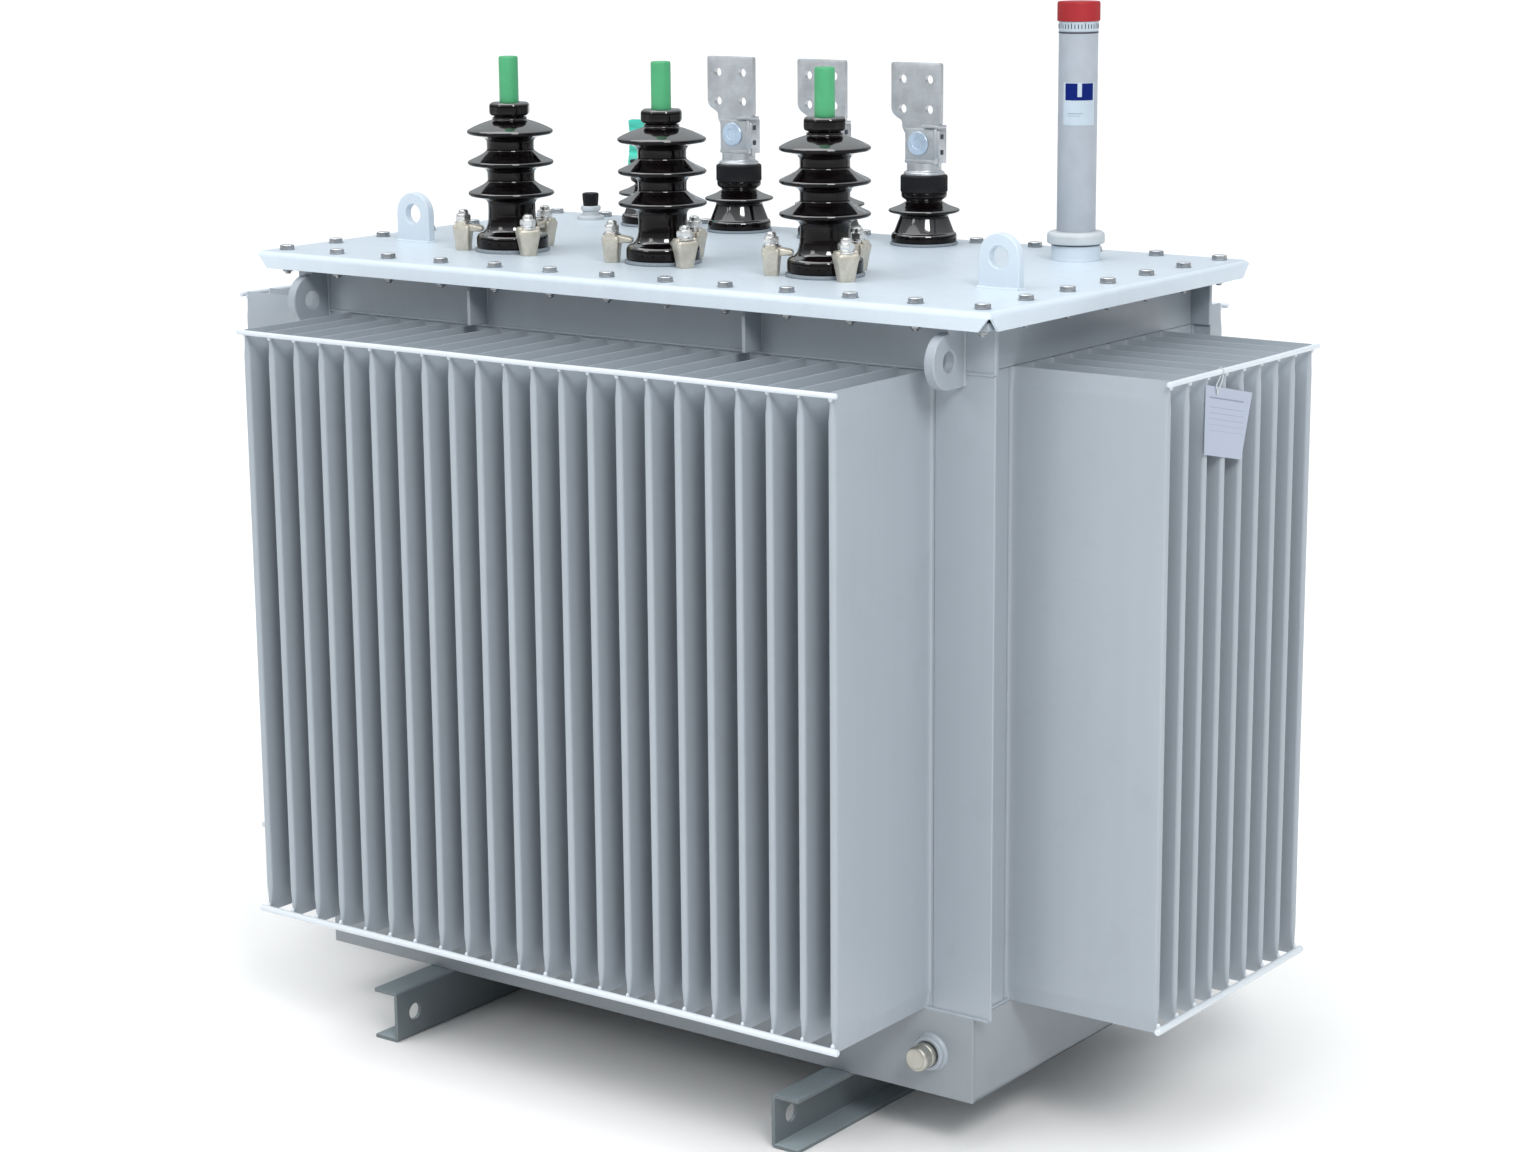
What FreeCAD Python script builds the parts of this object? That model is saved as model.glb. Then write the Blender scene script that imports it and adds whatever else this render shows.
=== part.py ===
import FreeCAD, Part
import math
import os

# Oil-filled power transformer on two channel skids: a welded tank with corrugated cooling walls,
# a bolted cover, three tall and four short bushings, a level gauge and a filler.
# Millimetres, +Z up. The origin is on the ground under the middle of the tank.
# X runs along the long side, and the front long side faces -Y.

# Skids
SKID_LENGTH = 850.0
SKID_HEIGHT = 80.0
SKID_FLANGE = 46.0
SKID_THICKNESS = 6.0
SKID_GAUGE = 708.0
SKID_BEND = 7.0
SKID_HOLE_D = 26.0
SKID_HOLE_FROM_END = 40.0

# Cooling fins
FIN_PITCH = 50.0
LONG_FIN_COUNT = 22
END_FIN_COUNT = 9
LONG_FIN_DEPTH = 223.0
END_FIN_DEPTH = 238.0
FIN_HEIGHT = 893.0
FIN_THICKNESS = 12.0
FIN_PINCH_THICKNESS = 3.0
FIN_PINCH_HEIGHT = 25.0
TIP_ROD_D = 10.0

# Tank
END_MARGIN = 94.0
LONG_MARGIN = 77.0
CORNER_TAB = 30.0
SHEET = 4.0
BASE_HEIGHT = 125.0
BASE_PLATE = 8.0
BASE_PROUD = 3.0
COLLAR_HEIGHT = 66.0
COLLAR_THICKNESS = 8.0
FLANGE_THICKNESS = 12.0
FLANGE_OVERHANG = 50.0

# Cover
GASKET_THICKNESS = 6.0
GASKET_WIDTH = 46.0
COVER_THICKNESS = 8.0
COVER_LIP_DEPTH = 26.0
COVER_LIP_THICKNESS = 5.0
COVER_LIP_CLEARANCE = 4.0
COVER_BEND = 10.0
COVER_NOTCH = 21.0

# Lifting lugs
COVER_LUG_FROM_END = 125.0
COVER_LUG_Y = -130.0
COVER_LUG_WIDTH = 66.0
COVER_LUG_HEIGHT = 76.0
COVER_LUG_THICKNESS = 14.0
COVER_LUG_HOLE_D = 30.0
TANK_LUG_FROM_END = 26.0
TANK_LUG_THICKNESS = 16.0
TANK_LUG_RADIUS = 38.0
TANK_LUG_HOLE_D = 28.0
TANK_LUG_REACH = 37.0
GUSSET_X = 250.0
GUSSET_THICKNESS = 6.0
GUSSET_REACH = 40.0

# High-voltage bushings
HV_FIRST_X = -328.0
HV_PITCH = 290.0
HV_Y = -142.0
HV_BODY_R = 36.0
HV_SHED_R = 65.0
HV_SHED_PITCH = 46.0
HV_BASE_R = 54.0
HV_CLAMP_GAP = 9.0
HV_CLAMP_LENGTH = 26.0
HV_CLAMP_ANGLES = (90, 210, 330)

# Low-voltage bushings
LV_FIRST_X = -377.0
LV_PITCH = 176.0
LV_FROM_BACK = 91.0
LV_BASE_R = 50.0
LV_SHED_R = 55.0
LV_RING_R = 36.0
PALM_WIDTH = 90.0
PALM_HEIGHT = 84.0
PALM_THICKNESS = 8.0
PALM_HOLE_D = 14.0
PALM_HOLES_X = 48.0
PALM_HOLES_Z = 45.0

# Fittings on the cover
FILLER_FROM_END = 146.0
FILLER_FROM_BACK = 81.0
GAUGE_FROM_END = 213.0
GAUGE_FROM_BACK = 138.0
GAUGE_TUBE_R = 28.5
GAUGE_HEIGHT = 372.0

# Drain
DRAIN_FROM_END = 65.0

# Paper tag hung on the right-hand fins
TAG_Y = -47.0
TAG_WIDTH = 124.0
TAG_HEIGHT = 104.0
TAG_THICKNESS = 0.8

# Derived positions
BASE_TOP = SKID_HEIGHT + BASE_HEIGHT
FIN_TOP = BASE_TOP + FIN_HEIGHT
COLLAR_TOP = FIN_TOP + COLLAR_HEIGHT
FLANGE_TOP = COLLAR_TOP + FLANGE_THICKNESS
COVER_UNDER = FLANGE_TOP + GASKET_THICKNESS
COVER_TOP = COVER_UNDER + COVER_THICKNESS
WALL_Y = (END_FIN_COUNT - 1) * FIN_PITCH / 2.0 + END_MARGIN
WALL_X = (LONG_FIN_COUNT - 1) * FIN_PITCH / 2.0 + LONG_MARGIN
FLANGE_X = WALL_X + FLANGE_OVERHANG
FLANGE_Y = WALL_Y + FLANGE_OVERHANG
COVER_X = FLANGE_X + COVER_LIP_CLEARANCE + COVER_LIP_THICKNESS
COVER_Y = FLANGE_Y + COVER_LIP_CLEARANCE + COVER_LIP_THICKNESS
TIP_Y = WALL_Y + LONG_FIN_DEPTH
TIP_X = WALL_X + END_FIN_DEPTH
COVER_LUG_X = COVER_X - COVER_LUG_FROM_END
TANK_LUG_X = WALL_X - TANK_LUG_FROM_END
LV_Y = COVER_Y - LV_FROM_BACK
FILLER_X = FILLER_FROM_END - COVER_X
FILLER_Y = COVER_Y - FILLER_FROM_BACK
GAUGE_X = COVER_X - GAUGE_FROM_END
GAUGE_Y = COVER_Y - GAUGE_FROM_BACK
DRAIN_X = WALL_X - DRAIN_FROM_END

UP = FreeCAD.Vector(0, 0, 1)
ORIGIN = FreeCAD.Vector(0, 0, 0)


def vec(x, y, z):
    return FreeCAD.Vector(x, y, z)


def box(x0, x1, y0, y1, z0, z1):
    return Part.makeBox(x1 - x0, y1 - y0, z1 - z0, vec(x0, y0, z0))


def cylinder(radius, length, base, direction):
    return Part.makeCylinder(radius, length, base, direction)


def prism(points, direction):
    """A polygon of vectors pushed along a direction."""
    face = Part.Face(Part.makePolygon(list(points) + [points[0]]))
    return face.extrude(direction)


def turned(profile, x, y, z):
    """A solid of revolution about a vertical axis, from (radius, height) pairs."""
    points = [vec(0, 0, profile[0][1])]
    points += [vec(radius, 0, height) for radius, height in profile]
    points.append(vec(0, 0, profile[-1][1]))
    face = Part.Face(Part.makePolygon(points + [points[0]]))
    solid = face.revolve(ORIGIN, UP, 360)
    solid.translate(vec(x, y, z))
    return solid


def fused(shapes):
    result = shapes[0].multiFuse(shapes[1:])
    return result.removeSplitter()


def moved(shape, x, y, z):
    copy = shape.copy()
    copy.translate(vec(x, y, z))
    return copy


def spun(shape, angle):
    copy = shape.copy()
    copy.rotate(ORIGIN, UP, angle)
    return copy


def mirrored_x(shape):
    return shape.mirror(ORIGIN, vec(1, 0, 0))


def mirrored_y(shape):
    return shape.mirror(ORIGIN, vec(0, 1, 0))


# Skids -------------------------------------------------------------------------------------

def skid_right():
    """A folded channel lying along Y: the web is on the inner side, the flanges point outwards."""
    inner = SKID_GAUGE / 2.0
    half = SKID_LENGTH / 2.0
    outline = box(inner, inner + SKID_FLANGE, -half, half, 0, SKID_HEIGHT)
    bends = [
        edge
        for edge in outline.Edges
        if edge.Length > SKID_LENGTH - 1 and abs(edge.CenterOfMass.x - inner) < 0.1
    ]
    outline = outline.makeFillet(SKID_BEND, bends)
    hollow = box(
        inner + SKID_THICKNESS,
        inner + SKID_FLANGE + 10,
        -half - 1,
        half + 1,
        SKID_THICKNESS,
        SKID_HEIGHT - SKID_THICKNESS,
    )
    channel = outline.cut(hollow)
    for end in (-1, 1):
        start = vec(inner - 5, end * (half - SKID_HOLE_FROM_END), SKID_HEIGHT / 2.0)
        hole = cylinder(SKID_HOLE_D / 2.0, SKID_THICKNESS + 10, start, vec(1, 0, 0))
        channel = channel.cut(hole)
    return channel


# Tank base ---------------------------------------------------------------------------------

def base_floor():
    half_x = WALL_X + BASE_PROUD - BASE_PLATE
    half_y = WALL_Y + BASE_PROUD - BASE_PLATE
    return box(-half_x, half_x, -half_y, half_y, SKID_HEIGHT, SKID_HEIGHT + BASE_PLATE)


def base_front():
    half_x = WALL_X + BASE_PROUD
    outer = -(WALL_Y + BASE_PROUD)
    return box(-half_x, half_x, outer, outer + BASE_PLATE, SKID_HEIGHT, BASE_TOP)


def base_end():
    outer = WALL_X + BASE_PROUD
    half_y = WALL_Y + BASE_PROUD - BASE_PLATE
    return box(outer - BASE_PLATE, outer, -half_y, half_y, SKID_HEIGHT, BASE_TOP)


# Corrugated walls --------------------------------------------------------------------------

def fin(depth):
    """One hollow fin, built solid, standing out along -Y from y = 0, its ends pinched shut."""
    half = FIN_THICKNESS / 2.0
    pinch = FIN_PINCH_THICKNESS / 2.0
    side = [
        (-pinch, 0),
        (pinch, 0),
        (half, FIN_PINCH_HEIGHT),
        (half, FIN_HEIGHT - FIN_PINCH_HEIGHT),
        (pinch, FIN_HEIGHT),
        (-pinch, FIN_HEIGHT),
        (-half, FIN_HEIGHT - FIN_PINCH_HEIGHT),
        (-half, FIN_PINCH_HEIGHT),
    ]
    blank = prism([vec(x, 0, z) for x, z in side], vec(0, -depth, 0))
    plan = box(-half, half, -depth + half, 0, 0, FIN_HEIGHT)
    fold = cylinder(half, FIN_HEIGHT, vec(0, -depth + half, 0), UP)
    return blank.common(fused([plan, fold]))


def bank_half(count):
    """Half the width of a row of fins, out to the edge of the sheet that carries it."""
    return (count - 1) * FIN_PITCH / 2.0 + FIN_THICKNESS


def fin_wall(count, depth, plane):
    """A sheet facing -Y with its row of fins, standing on the base box."""
    half = bank_half(count)
    sheet = box(-half, half, -plane, -plane + SHEET, BASE_TOP, FIN_TOP)
    one = fin(depth)
    first = -(count - 1) * FIN_PITCH / 2.0
    fins = [moved(one, first + i * FIN_PITCH, -plane, BASE_TOP) for i in range(count)]
    return fused([sheet] + fins)


def fin_wall_front():
    return fin_wall(LONG_FIN_COUNT, LONG_FIN_DEPTH, WALL_Y)


def fin_wall_right():
    return spun(fin_wall(END_FIN_COUNT, END_FIN_DEPTH, WALL_X), 90)


def corner_plate():
    """The flat sheet round the front right corner, its front leg ending in a tab past the side."""
    front = box(
        bank_half(LONG_FIN_COUNT), WALL_X + CORNER_TAB, -WALL_Y, -WALL_Y + SHEET, BASE_TOP, FIN_TOP
    )
    side = box(
        WALL_X - SHEET, WALL_X, -WALL_Y + SHEET, -bank_half(END_FIN_COUNT), BASE_TOP, FIN_TOP
    )
    return fused([front, side])


def corner_plates_right():
    front = corner_plate()
    return [front, mirrored_y(front)]


def tip_rods(count, tip):
    """The two round rods welded along the fin tips, one at the top and one at the bottom."""
    radius = TIP_ROD_D / 2.0
    half = (count - 1) * FIN_PITCH / 2.0 + FIN_THICKNESS
    rods = []
    for height in (BASE_TOP + radius, FIN_TOP - radius):
        rods.append(cylinder(radius, 2 * half, vec(-half, -(tip + radius), height), vec(1, 0, 0)))
    return rods


def tip_rods_long():
    front = tip_rods(LONG_FIN_COUNT, TIP_Y)
    return front + [mirrored_y(rod) for rod in front]


def tip_rods_end():
    right = [spun(rod, 90) for rod in tip_rods(END_FIN_COUNT, TIP_X)]
    return right + [mirrored_x(rod) for rod in right]


# Collar, gussets and tank lugs -------------------------------------------------------------

def collar_front():
    """An angle bar: the upright leg carries on the wall, the other leg is the cover's flange."""
    half_tab = WALL_X + CORNER_TAB
    upright = box(-half_tab, half_tab, -WALL_Y, -WALL_Y + COLLAR_THICKNESS, FIN_TOP, COLLAR_TOP)
    flange = box(
        -FLANGE_X, FLANGE_X, -FLANGE_Y, -WALL_Y + COLLAR_THICKNESS, COLLAR_TOP, FLANGE_TOP
    )
    return fused([upright, flange])


def collar_right():
    half_y = WALL_Y - COLLAR_THICKNESS
    upright = box(WALL_X - COLLAR_THICKNESS, WALL_X, -half_y, half_y, FIN_TOP, COLLAR_TOP)
    flange = box(WALL_X - COLLAR_THICKNESS, FLANGE_X, -half_y, half_y, COLLAR_TOP, FLANGE_TOP)
    return fused([upright, flange])


def gusset(x):
    """A thin upright plate under the front flange, its top outer corner clipped."""
    x0 = x - GUSSET_THICKNESS / 2.0
    outer = -WALL_Y - GUSSET_REACH
    bottom = FIN_TOP + 5
    outline = [
        vec(x0, -WALL_Y, bottom),
        vec(x0, -WALL_Y, COLLAR_TOP),
        vec(x0, outer + 8, COLLAR_TOP),
        vec(x0, outer, COLLAR_TOP - 10),
        vec(x0, outer, bottom),
    ]
    return prism(outline, vec(GUSSET_THICKNESS, 0, 0))


def flange_gussets():
    front = [gusset(-GUSSET_X), gusset(GUSSET_X)]
    return front + [mirrored_y(one) for one in front]


def tank_lug():
    """A round-ended lifting ear on the front of the collar at the right, with its hole."""
    x0 = TANK_LUG_X - TANK_LUG_THICKNESS / 2.0
    centre_y = -(WALL_Y + TANK_LUG_REACH)
    centre_z = COLLAR_TOP - TANK_LUG_RADIUS - 8
    axis = vec(1, 0, 0)
    disc = cylinder(TANK_LUG_RADIUS, TANK_LUG_THICKNESS, vec(x0, centre_y, centre_z), axis)
    web = box(
        x0,
        x0 + TANK_LUG_THICKNESS,
        centre_y,
        -WALL_Y,
        centre_z - TANK_LUG_RADIUS,
        COLLAR_TOP,
    )
    hole = cylinder(
        TANK_LUG_HOLE_D / 2.0, TANK_LUG_THICKNESS + 2, vec(x0 - 1, centre_y, centre_z), axis
    )
    behind = box(x0 - 1, x0 + TANK_LUG_THICKNESS + 1, -WALL_Y, 0, 0, COVER_TOP)
    return fused([disc, web]).cut(hole).cut(behind)


def tank_lugs_right():
    front = tank_lug()
    return [front, mirrored_y(front)]


# Cover -------------------------------------------------------------------------------------

def cover_gasket():
    """Four straight strips, butted with a hair's gap, between the flange and the cover."""
    x1 = FLANGE_X - 4
    y1 = FLANGE_Y - 4
    z0 = FLANGE_TOP
    z1 = COVER_UNDER
    front = box(-x1, x1, -y1, -y1 + GASKET_WIDTH, z0, z1)
    inner = y1 - GASKET_WIDTH - 0.2
    right = box(x1 - GASKET_WIDTH, x1, -inner, inner, z0, z1)
    return [front, mirrored_y(front), right, mirrored_x(right)]


def cover():
    """A flat plate with its four edges folded down into a lip, cut back at each corner."""
    bottom = COVER_TOP - COVER_LIP_DEPTH
    blank = box(-COVER_X, COVER_X, -COVER_Y, COVER_Y, bottom, COVER_TOP)
    rim = [
        edge
        for edge in blank.Edges
        if abs(edge.CenterOfMass.z - COVER_TOP) < 0.1
    ]
    blank = blank.makeFillet(COVER_BEND, rim)
    inner_x = COVER_X - COVER_LIP_THICKNESS
    inner_y = COVER_Y - COVER_LIP_THICKNESS
    blank = blank.cut(box(-inner_x, inner_x, -inner_y, inner_y, bottom - 1, COVER_UNDER))
    top = COVER_UNDER
    for sx in (-1, 1):
        for sy in (-1, 1):
            long_cut = [
                vec(sx * (COVER_X + 1), sy * inner_y, bottom - 1),
                vec(sx * (COVER_X - COVER_NOTCH), sy * inner_y, bottom - 1),
                vec(sx * (COVER_X - COVER_LIP_THICKNESS), sy * inner_y, top),
                vec(sx * (COVER_X + 1), sy * inner_y, top),
            ]
            blank = blank.cut(prism(long_cut, vec(0, sy * (COVER_LIP_THICKNESS + 1), 0)))
            end_cut = [
                vec(sx * inner_x, sy * (COVER_Y + 1), bottom - 1),
                vec(sx * inner_x, sy * (COVER_Y - COVER_NOTCH), bottom - 1),
                vec(sx * inner_x, sy * (COVER_Y - COVER_LIP_THICKNESS), top),
                vec(sx * inner_x, sy * (COVER_Y + 1), top),
            ]
            blank = blank.cut(prism(end_cut, vec(sx * (COVER_LIP_THICKNESS + 1), 0, 0)))
    return blank


def cover_lug():
    """The thick upright ear at the right of the cover, round at the top, its hole along Y."""
    radius = COVER_LUG_WIDTH / 2.0
    x = COVER_LUG_X
    y0 = COVER_LUG_Y - COVER_LUG_THICKNESS / 2.0
    centre_z = COVER_TOP + COVER_LUG_HEIGHT - radius
    axis = vec(0, 1, 0)
    leg = box(x - radius, x + radius, y0, y0 + COVER_LUG_THICKNESS, COVER_TOP, centre_z)
    head = cylinder(radius, COVER_LUG_THICKNESS, vec(x, y0, centre_z), axis)
    hole = cylinder(
        COVER_LUG_HOLE_D / 2.0, COVER_LUG_THICKNESS + 2, vec(x, y0 - 1, centre_z), axis
    )
    return fused([leg, head]).cut(hole)


# High-voltage bushings ---------------------------------------------------------------------

HV_GASKET = 5.0
HV_FLANGE_TOP = 28.0
HV_FIRST_RIM = 87.0
HV_CAP_BASE = 202.0
HV_CAP_TOP = 223.0
HV_TOP = 291.0


def hv_x(index):
    return HV_FIRST_X + index * HV_PITCH


def hv_shed(rim):
    """One shed: a cone out to a rounded rim, its underside falling back to the body."""
    return [
        (HV_BODY_R, rim - 10),
        (HV_SHED_R - 10, rim - 6),
        (HV_SHED_R - 2, rim - 3),
        (HV_SHED_R, rim),
        (HV_SHED_R - 2, rim + 2),
    ]


def hv_profile():
    """Radius and height, from the foot up: foot ring, three sheds, waist, ball and cap."""
    profile = [
        (HV_BASE_R - 3, HV_GASKET),
        (HV_BASE_R, HV_GASKET + 3),
        (HV_BASE_R, HV_FLANGE_TOP - 4),
        (HV_BASE_R - 4, HV_FLANGE_TOP),
        (HV_BASE_R - 10, HV_FLANGE_TOP),
        (HV_BODY_R + 4, HV_FLANGE_TOP + 10),
        (HV_BODY_R, HV_FLANGE_TOP + 20),
    ]
    for shed in range(2):
        rim = HV_FIRST_RIM + shed * HV_SHED_PITCH
        profile += hv_shed(rim) + [(HV_BODY_R, rim + 16)]
    last = HV_FIRST_RIM + 2 * HV_SHED_PITCH
    profile += hv_shed(last)
    profile += [
        (24.0, last + 11),
        (26.0, last + 15),
        (24.0, last + 20),
        (20.5, HV_CAP_BASE - 2),
        (29.0, HV_CAP_BASE),
        (30.5, HV_CAP_BASE + 3),
        (30.5, HV_CAP_TOP - 3),
        (29.0, HV_CAP_TOP),
    ]
    return profile


def hv_bushing(index):
    return turned(hv_profile(), hv_x(index), HV_Y, COVER_TOP)


def hv_gaskets():
    ring = cylinder(HV_BASE_R + 2, HV_GASKET, vec(0, HV_Y, COVER_TOP), UP)
    return [moved(ring, hv_x(i), 0, 0) for i in range(3)]


def hv_terminal_caps():
    cap = cylinder(14.5, HV_TOP - HV_CAP_TOP, vec(0, HV_Y, COVER_TOP + HV_CAP_TOP), UP)
    return [moved(cap, hv_x(i), 0, 0) for i in range(3)]


def hv_clamp():
    """A cast dog on the cover, its toe resting on the foot ring, standing out along +X."""
    inner = HV_BASE_R + HV_CLAMP_GAP
    body = box(inner, inner + HV_CLAMP_LENGTH, -14, 14, 0, 38)
    toe = box(HV_BASE_R - 9, inner + 1, -10, 10, HV_FLANGE_TOP, 38)
    return fused([body, toe])


def hv_clamps():
    """Three dogs about each high-voltage bushing, a third of a turn apart."""
    dogs = []
    for index in range(3):
        for angle in HV_CLAMP_ANGLES:
            dogs.append(moved(spun(hv_clamp(), angle), hv_x(index), HV_Y, COVER_TOP))
    return dogs


# Low-voltage bushings ----------------------------------------------------------------------

LV_GASKET = 4.0
LV_RING_BASE = 79.0
LV_RING_TOP = 106.0
LV_STEM_TOP = 116.0
PALM_TOP = 274.0


def lv_x(index):
    return LV_FIRST_X + index * LV_PITCH


def lv_bushing(index):
    """Radius and height, from the foot up: foot rim, cone, one shed and a bowl."""
    profile = [
        (LV_BASE_R - 2, LV_GASKET),
        (LV_BASE_R, LV_GASKET + 2),
        (LV_BASE_R, 16.0),
        (LV_BASE_R - 2, 18.0),
        (37.0, 42.0),
        (37.0, 45.0),
        (LV_SHED_R - 2, 49.0),
        (LV_SHED_R, 52.0),
        (LV_SHED_R - 2, 54.0),
        (27.0, 65.0),
        (34.0, 71.0),
        (35.0, LV_RING_BASE),
    ]
    return turned(profile, lv_x(index), LV_Y, COVER_TOP)


def lv_gaskets():
    ring = cylinder(LV_BASE_R + 1, LV_GASKET, vec(0, LV_Y, COVER_TOP), UP)
    return [moved(ring, lv_x(i), 0, 0) for i in range(4)]


def lv_rings():
    """The black ribbed ring nuts that hold the low-voltage bushings down."""
    height = LV_RING_TOP - LV_RING_BASE
    ring = cylinder(LV_RING_R, height, vec(0, LV_Y, COVER_TOP + LV_RING_BASE), UP)
    return [moved(ring, lv_x(i), 0, 0) for i in range(4)]


def palm_outline(y0):
    """The flat plate with its stepped neck, offset towards -X over the clamp block."""
    left = -58.0
    right = left + PALM_WIDTH
    top = PALM_TOP
    bottom = PALM_TOP - PALM_HEIGHT
    points = [
        (left, top),
        (left, bottom + 12),
        (left + 4, bottom + 5),
        (left + 12, bottom),
        (left + 20, bottom - 4),
        (left + 20, bottom - 14),
        (left + 26, bottom - 24),
        (left + 32, bottom - 30),
        (left + 32, 150.0),
        (right, 150.0),
        (right, top),
    ]
    return [vec(x, y0, z) for x, z in points]


def lv_terminal(index):
    """A stem, a clamp block gripping it, and the flat palm with four bolt holes."""
    stem = cylinder(31.0, LV_STEM_TOP - LV_RING_TOP, vec(0, 0, LV_RING_TOP), UP)
    post = cylinder(26.0, 8.0, vec(0, 0, LV_STEM_TOP), UP)
    block = box(-27, 29, -22, 22, LV_STEM_TOP + 8, 176)
    jaw = box(29, 38, -22, -6, 136, 174)
    bar = box(4, 38, -22, 2, 176, 181)
    palm = prism(palm_outline(-PALM_THICKNESS / 2.0), vec(0, PALM_THICKNESS, 0))
    solid = fused([stem, post, block, jaw, bar, palm])
    centre_x = -58.0 + PALM_WIDTH / 2.0
    centre_z = PALM_TOP - 25.0 - PALM_HOLES_Z / 2.0
    for sx in (-1, 1):
        for sz in (-1, 1):
            start = vec(
                centre_x + sx * PALM_HOLES_X / 2.0, -PALM_THICKNESS, centre_z + sz * PALM_HOLES_Z / 2.0
            )
            hole = cylinder(PALM_HOLE_D / 2.0, 2 * PALM_THICKNESS, start, vec(0, 1, 0))
            solid = solid.cut(hole)
    return moved(solid, lv_x(index), LV_Y, COVER_TOP)


def neutral_terminal():
    """A shorter plate on the first low-voltage bushing, wrapped in film."""
    stem = cylinder(20.0, 8.0, vec(0, 0, LV_RING_TOP), UP)
    plate = box(-45, 45, -7, 7, LV_RING_TOP + 8, 168)
    return moved(fused([stem, plate]), lv_x(0), LV_Y, COVER_TOP)


# Fittings ----------------------------------------------------------------------------------

def filler_neck():
    profile = [(22.0, 0.0), (22.0, 6.0), (14.0, 8.0), (14.0, 14.0), (16.5, 15.0), (16.5, 22.0)]
    return turned(profile, FILLER_X, FILLER_Y, COVER_TOP)


def filler_cap():
    profile = [(11.5, 22.0), (13.5, 34.0), (13.5, 42.0), (12.0, 43.5)]
    return turned(profile, FILLER_X, FILLER_Y, COVER_TOP)


def gauge_pipe():
    profile = [(36.0, 0.0), (36.0, 22.0), (35.0, 22.0), (35.0, 24.0)]
    return turned(profile, GAUGE_X, GAUGE_Y, COVER_TOP)


def gauge_ring():
    profile = [(42.0, 24.0), (42.0, 38.0), (39.0, 41.0)]
    return turned(profile, GAUGE_X, GAUGE_Y, COVER_TOP)


def gauge_tube():
    start = vec(GAUGE_X, GAUGE_Y, COVER_TOP + 41)
    return cylinder(GAUGE_TUBE_R, GAUGE_HEIGHT - 28 - 41, start, UP)


def gauge_cap():
    cap = cylinder(31.0, 28.0, vec(GAUGE_X, GAUGE_Y, COVER_TOP + GAUGE_HEIGHT - 28), UP)
    rim = [edge for edge in cap.Edges if abs(edge.CenterOfMass.z - COVER_TOP - GAUGE_HEIGHT) < 0.1]
    return cap.makeFillet(2.0, rim)


def drain_socket():
    start = vec(DRAIN_X, -(WALL_Y + BASE_PROUD), SKID_HEIGHT + BASE_HEIGHT / 2.0)
    return cylinder(20.0, 12.0, start, vec(0, -1, 0))


def drain_plug():
    start = vec(DRAIN_X, -(WALL_Y + BASE_PROUD + 12), SKID_HEIGHT + BASE_HEIGHT / 2.0)
    neck = cylinder(12.0, 6.0, start, vec(0, -1, 0))
    head = cylinder(14.0, 22.0, start + vec(0, -6, 0), vec(0, -1, 0))
    return fused([neck, head])


def paper_tag():
    """A plain tag hanging just clear of the right-hand fin tips, under the top rod."""
    top = FIN_TOP - TIP_ROD_D - 6
    x0 = TIP_X + 0.3
    half = TAG_WIDTH / 2.0
    return box(x0, x0 + TAG_THICKNESS, TAG_Y - half, TAG_Y + half, top - TAG_HEIGHT, top)


# Assembly ----------------------------------------------------------------------------------

def all_nodes():
    front = fin_wall_front()
    right = fin_wall_right()
    collar_f = collar_front()
    collar_r = collar_right()
    base_f = base_front()
    base_e = base_end()
    lugs = tank_lugs_right()
    corners = corner_plates_right()
    cover_ear = cover_lug()
    nodes = {
        "skid_left": [mirrored_x(skid_right())],
        "skid_right": [skid_right()],
        "base_floor": [base_floor()],
        "base_long_walls": [base_f, mirrored_y(base_f)],
        "base_end_walls": [base_e, mirrored_x(base_e)],
        "fin_wall_front": [front],
        "fin_wall_back": [mirrored_y(front)],
        "fin_wall_left": [mirrored_x(right)],
        "fin_wall_right": [right],
        "corner_plates": corners + [mirrored_x(one) for one in corners],
        "tip_rods_long": tip_rods_long(),
        "tip_rods_end": tip_rods_end(),
        "collar_long": [collar_f, mirrored_y(collar_f)],
        "collar_ends": [collar_r, mirrored_x(collar_r)],
        "flange_gussets": flange_gussets(),
        "tank_lugs": lugs + [mirrored_x(one) for one in lugs],
        "cover_gasket": cover_gasket(),
        "cover": [cover()],
        "cover_lugs": [cover_ear, mirrored_x(cover_ear)],
        "hv_gaskets": hv_gaskets(),
        "hv_clamps": hv_clamps(),
        "hv_terminal_caps": hv_terminal_caps(),
        "lv_gaskets": lv_gaskets(),
        "lv_rings": lv_rings(),
        "neutral_terminal": [neutral_terminal()],
        "filler_neck": [filler_neck()],
        "filler_cap": [filler_cap()],
        "gauge_pipe": [gauge_pipe()],
        "gauge_ring": [gauge_ring()],
        "gauge_tube": [gauge_tube()],
        "gauge_cap": [gauge_cap()],
        "drain_socket": [drain_socket()],
        "drain_plug": [drain_plug()],
        "paper_tag": [paper_tag()],
    }
    for index in range(3):
        nodes["hv_bushing_%d" % (index + 1)] = [hv_bushing(index)]
        nodes["lv_terminal_%d" % (index + 2)] = [lv_terminal(index + 1)]
    for index in range(4):
        nodes["lv_bushing_%d" % (index + 1)] = [lv_bushing(index)]
    return nodes


os.makedirs("parts", exist_ok=True)
for name, solids in all_nodes().items():
    shape = solids[0] if len(solids) == 1 else Part.makeCompound(solids)
    shape.exportStep("parts/%s.step" % name)
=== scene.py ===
"""The looks of an oil-filled power transformer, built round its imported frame.

Metres, +Z up. The front long side, with the tall bushings nearest, faces -Y.
"""

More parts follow.
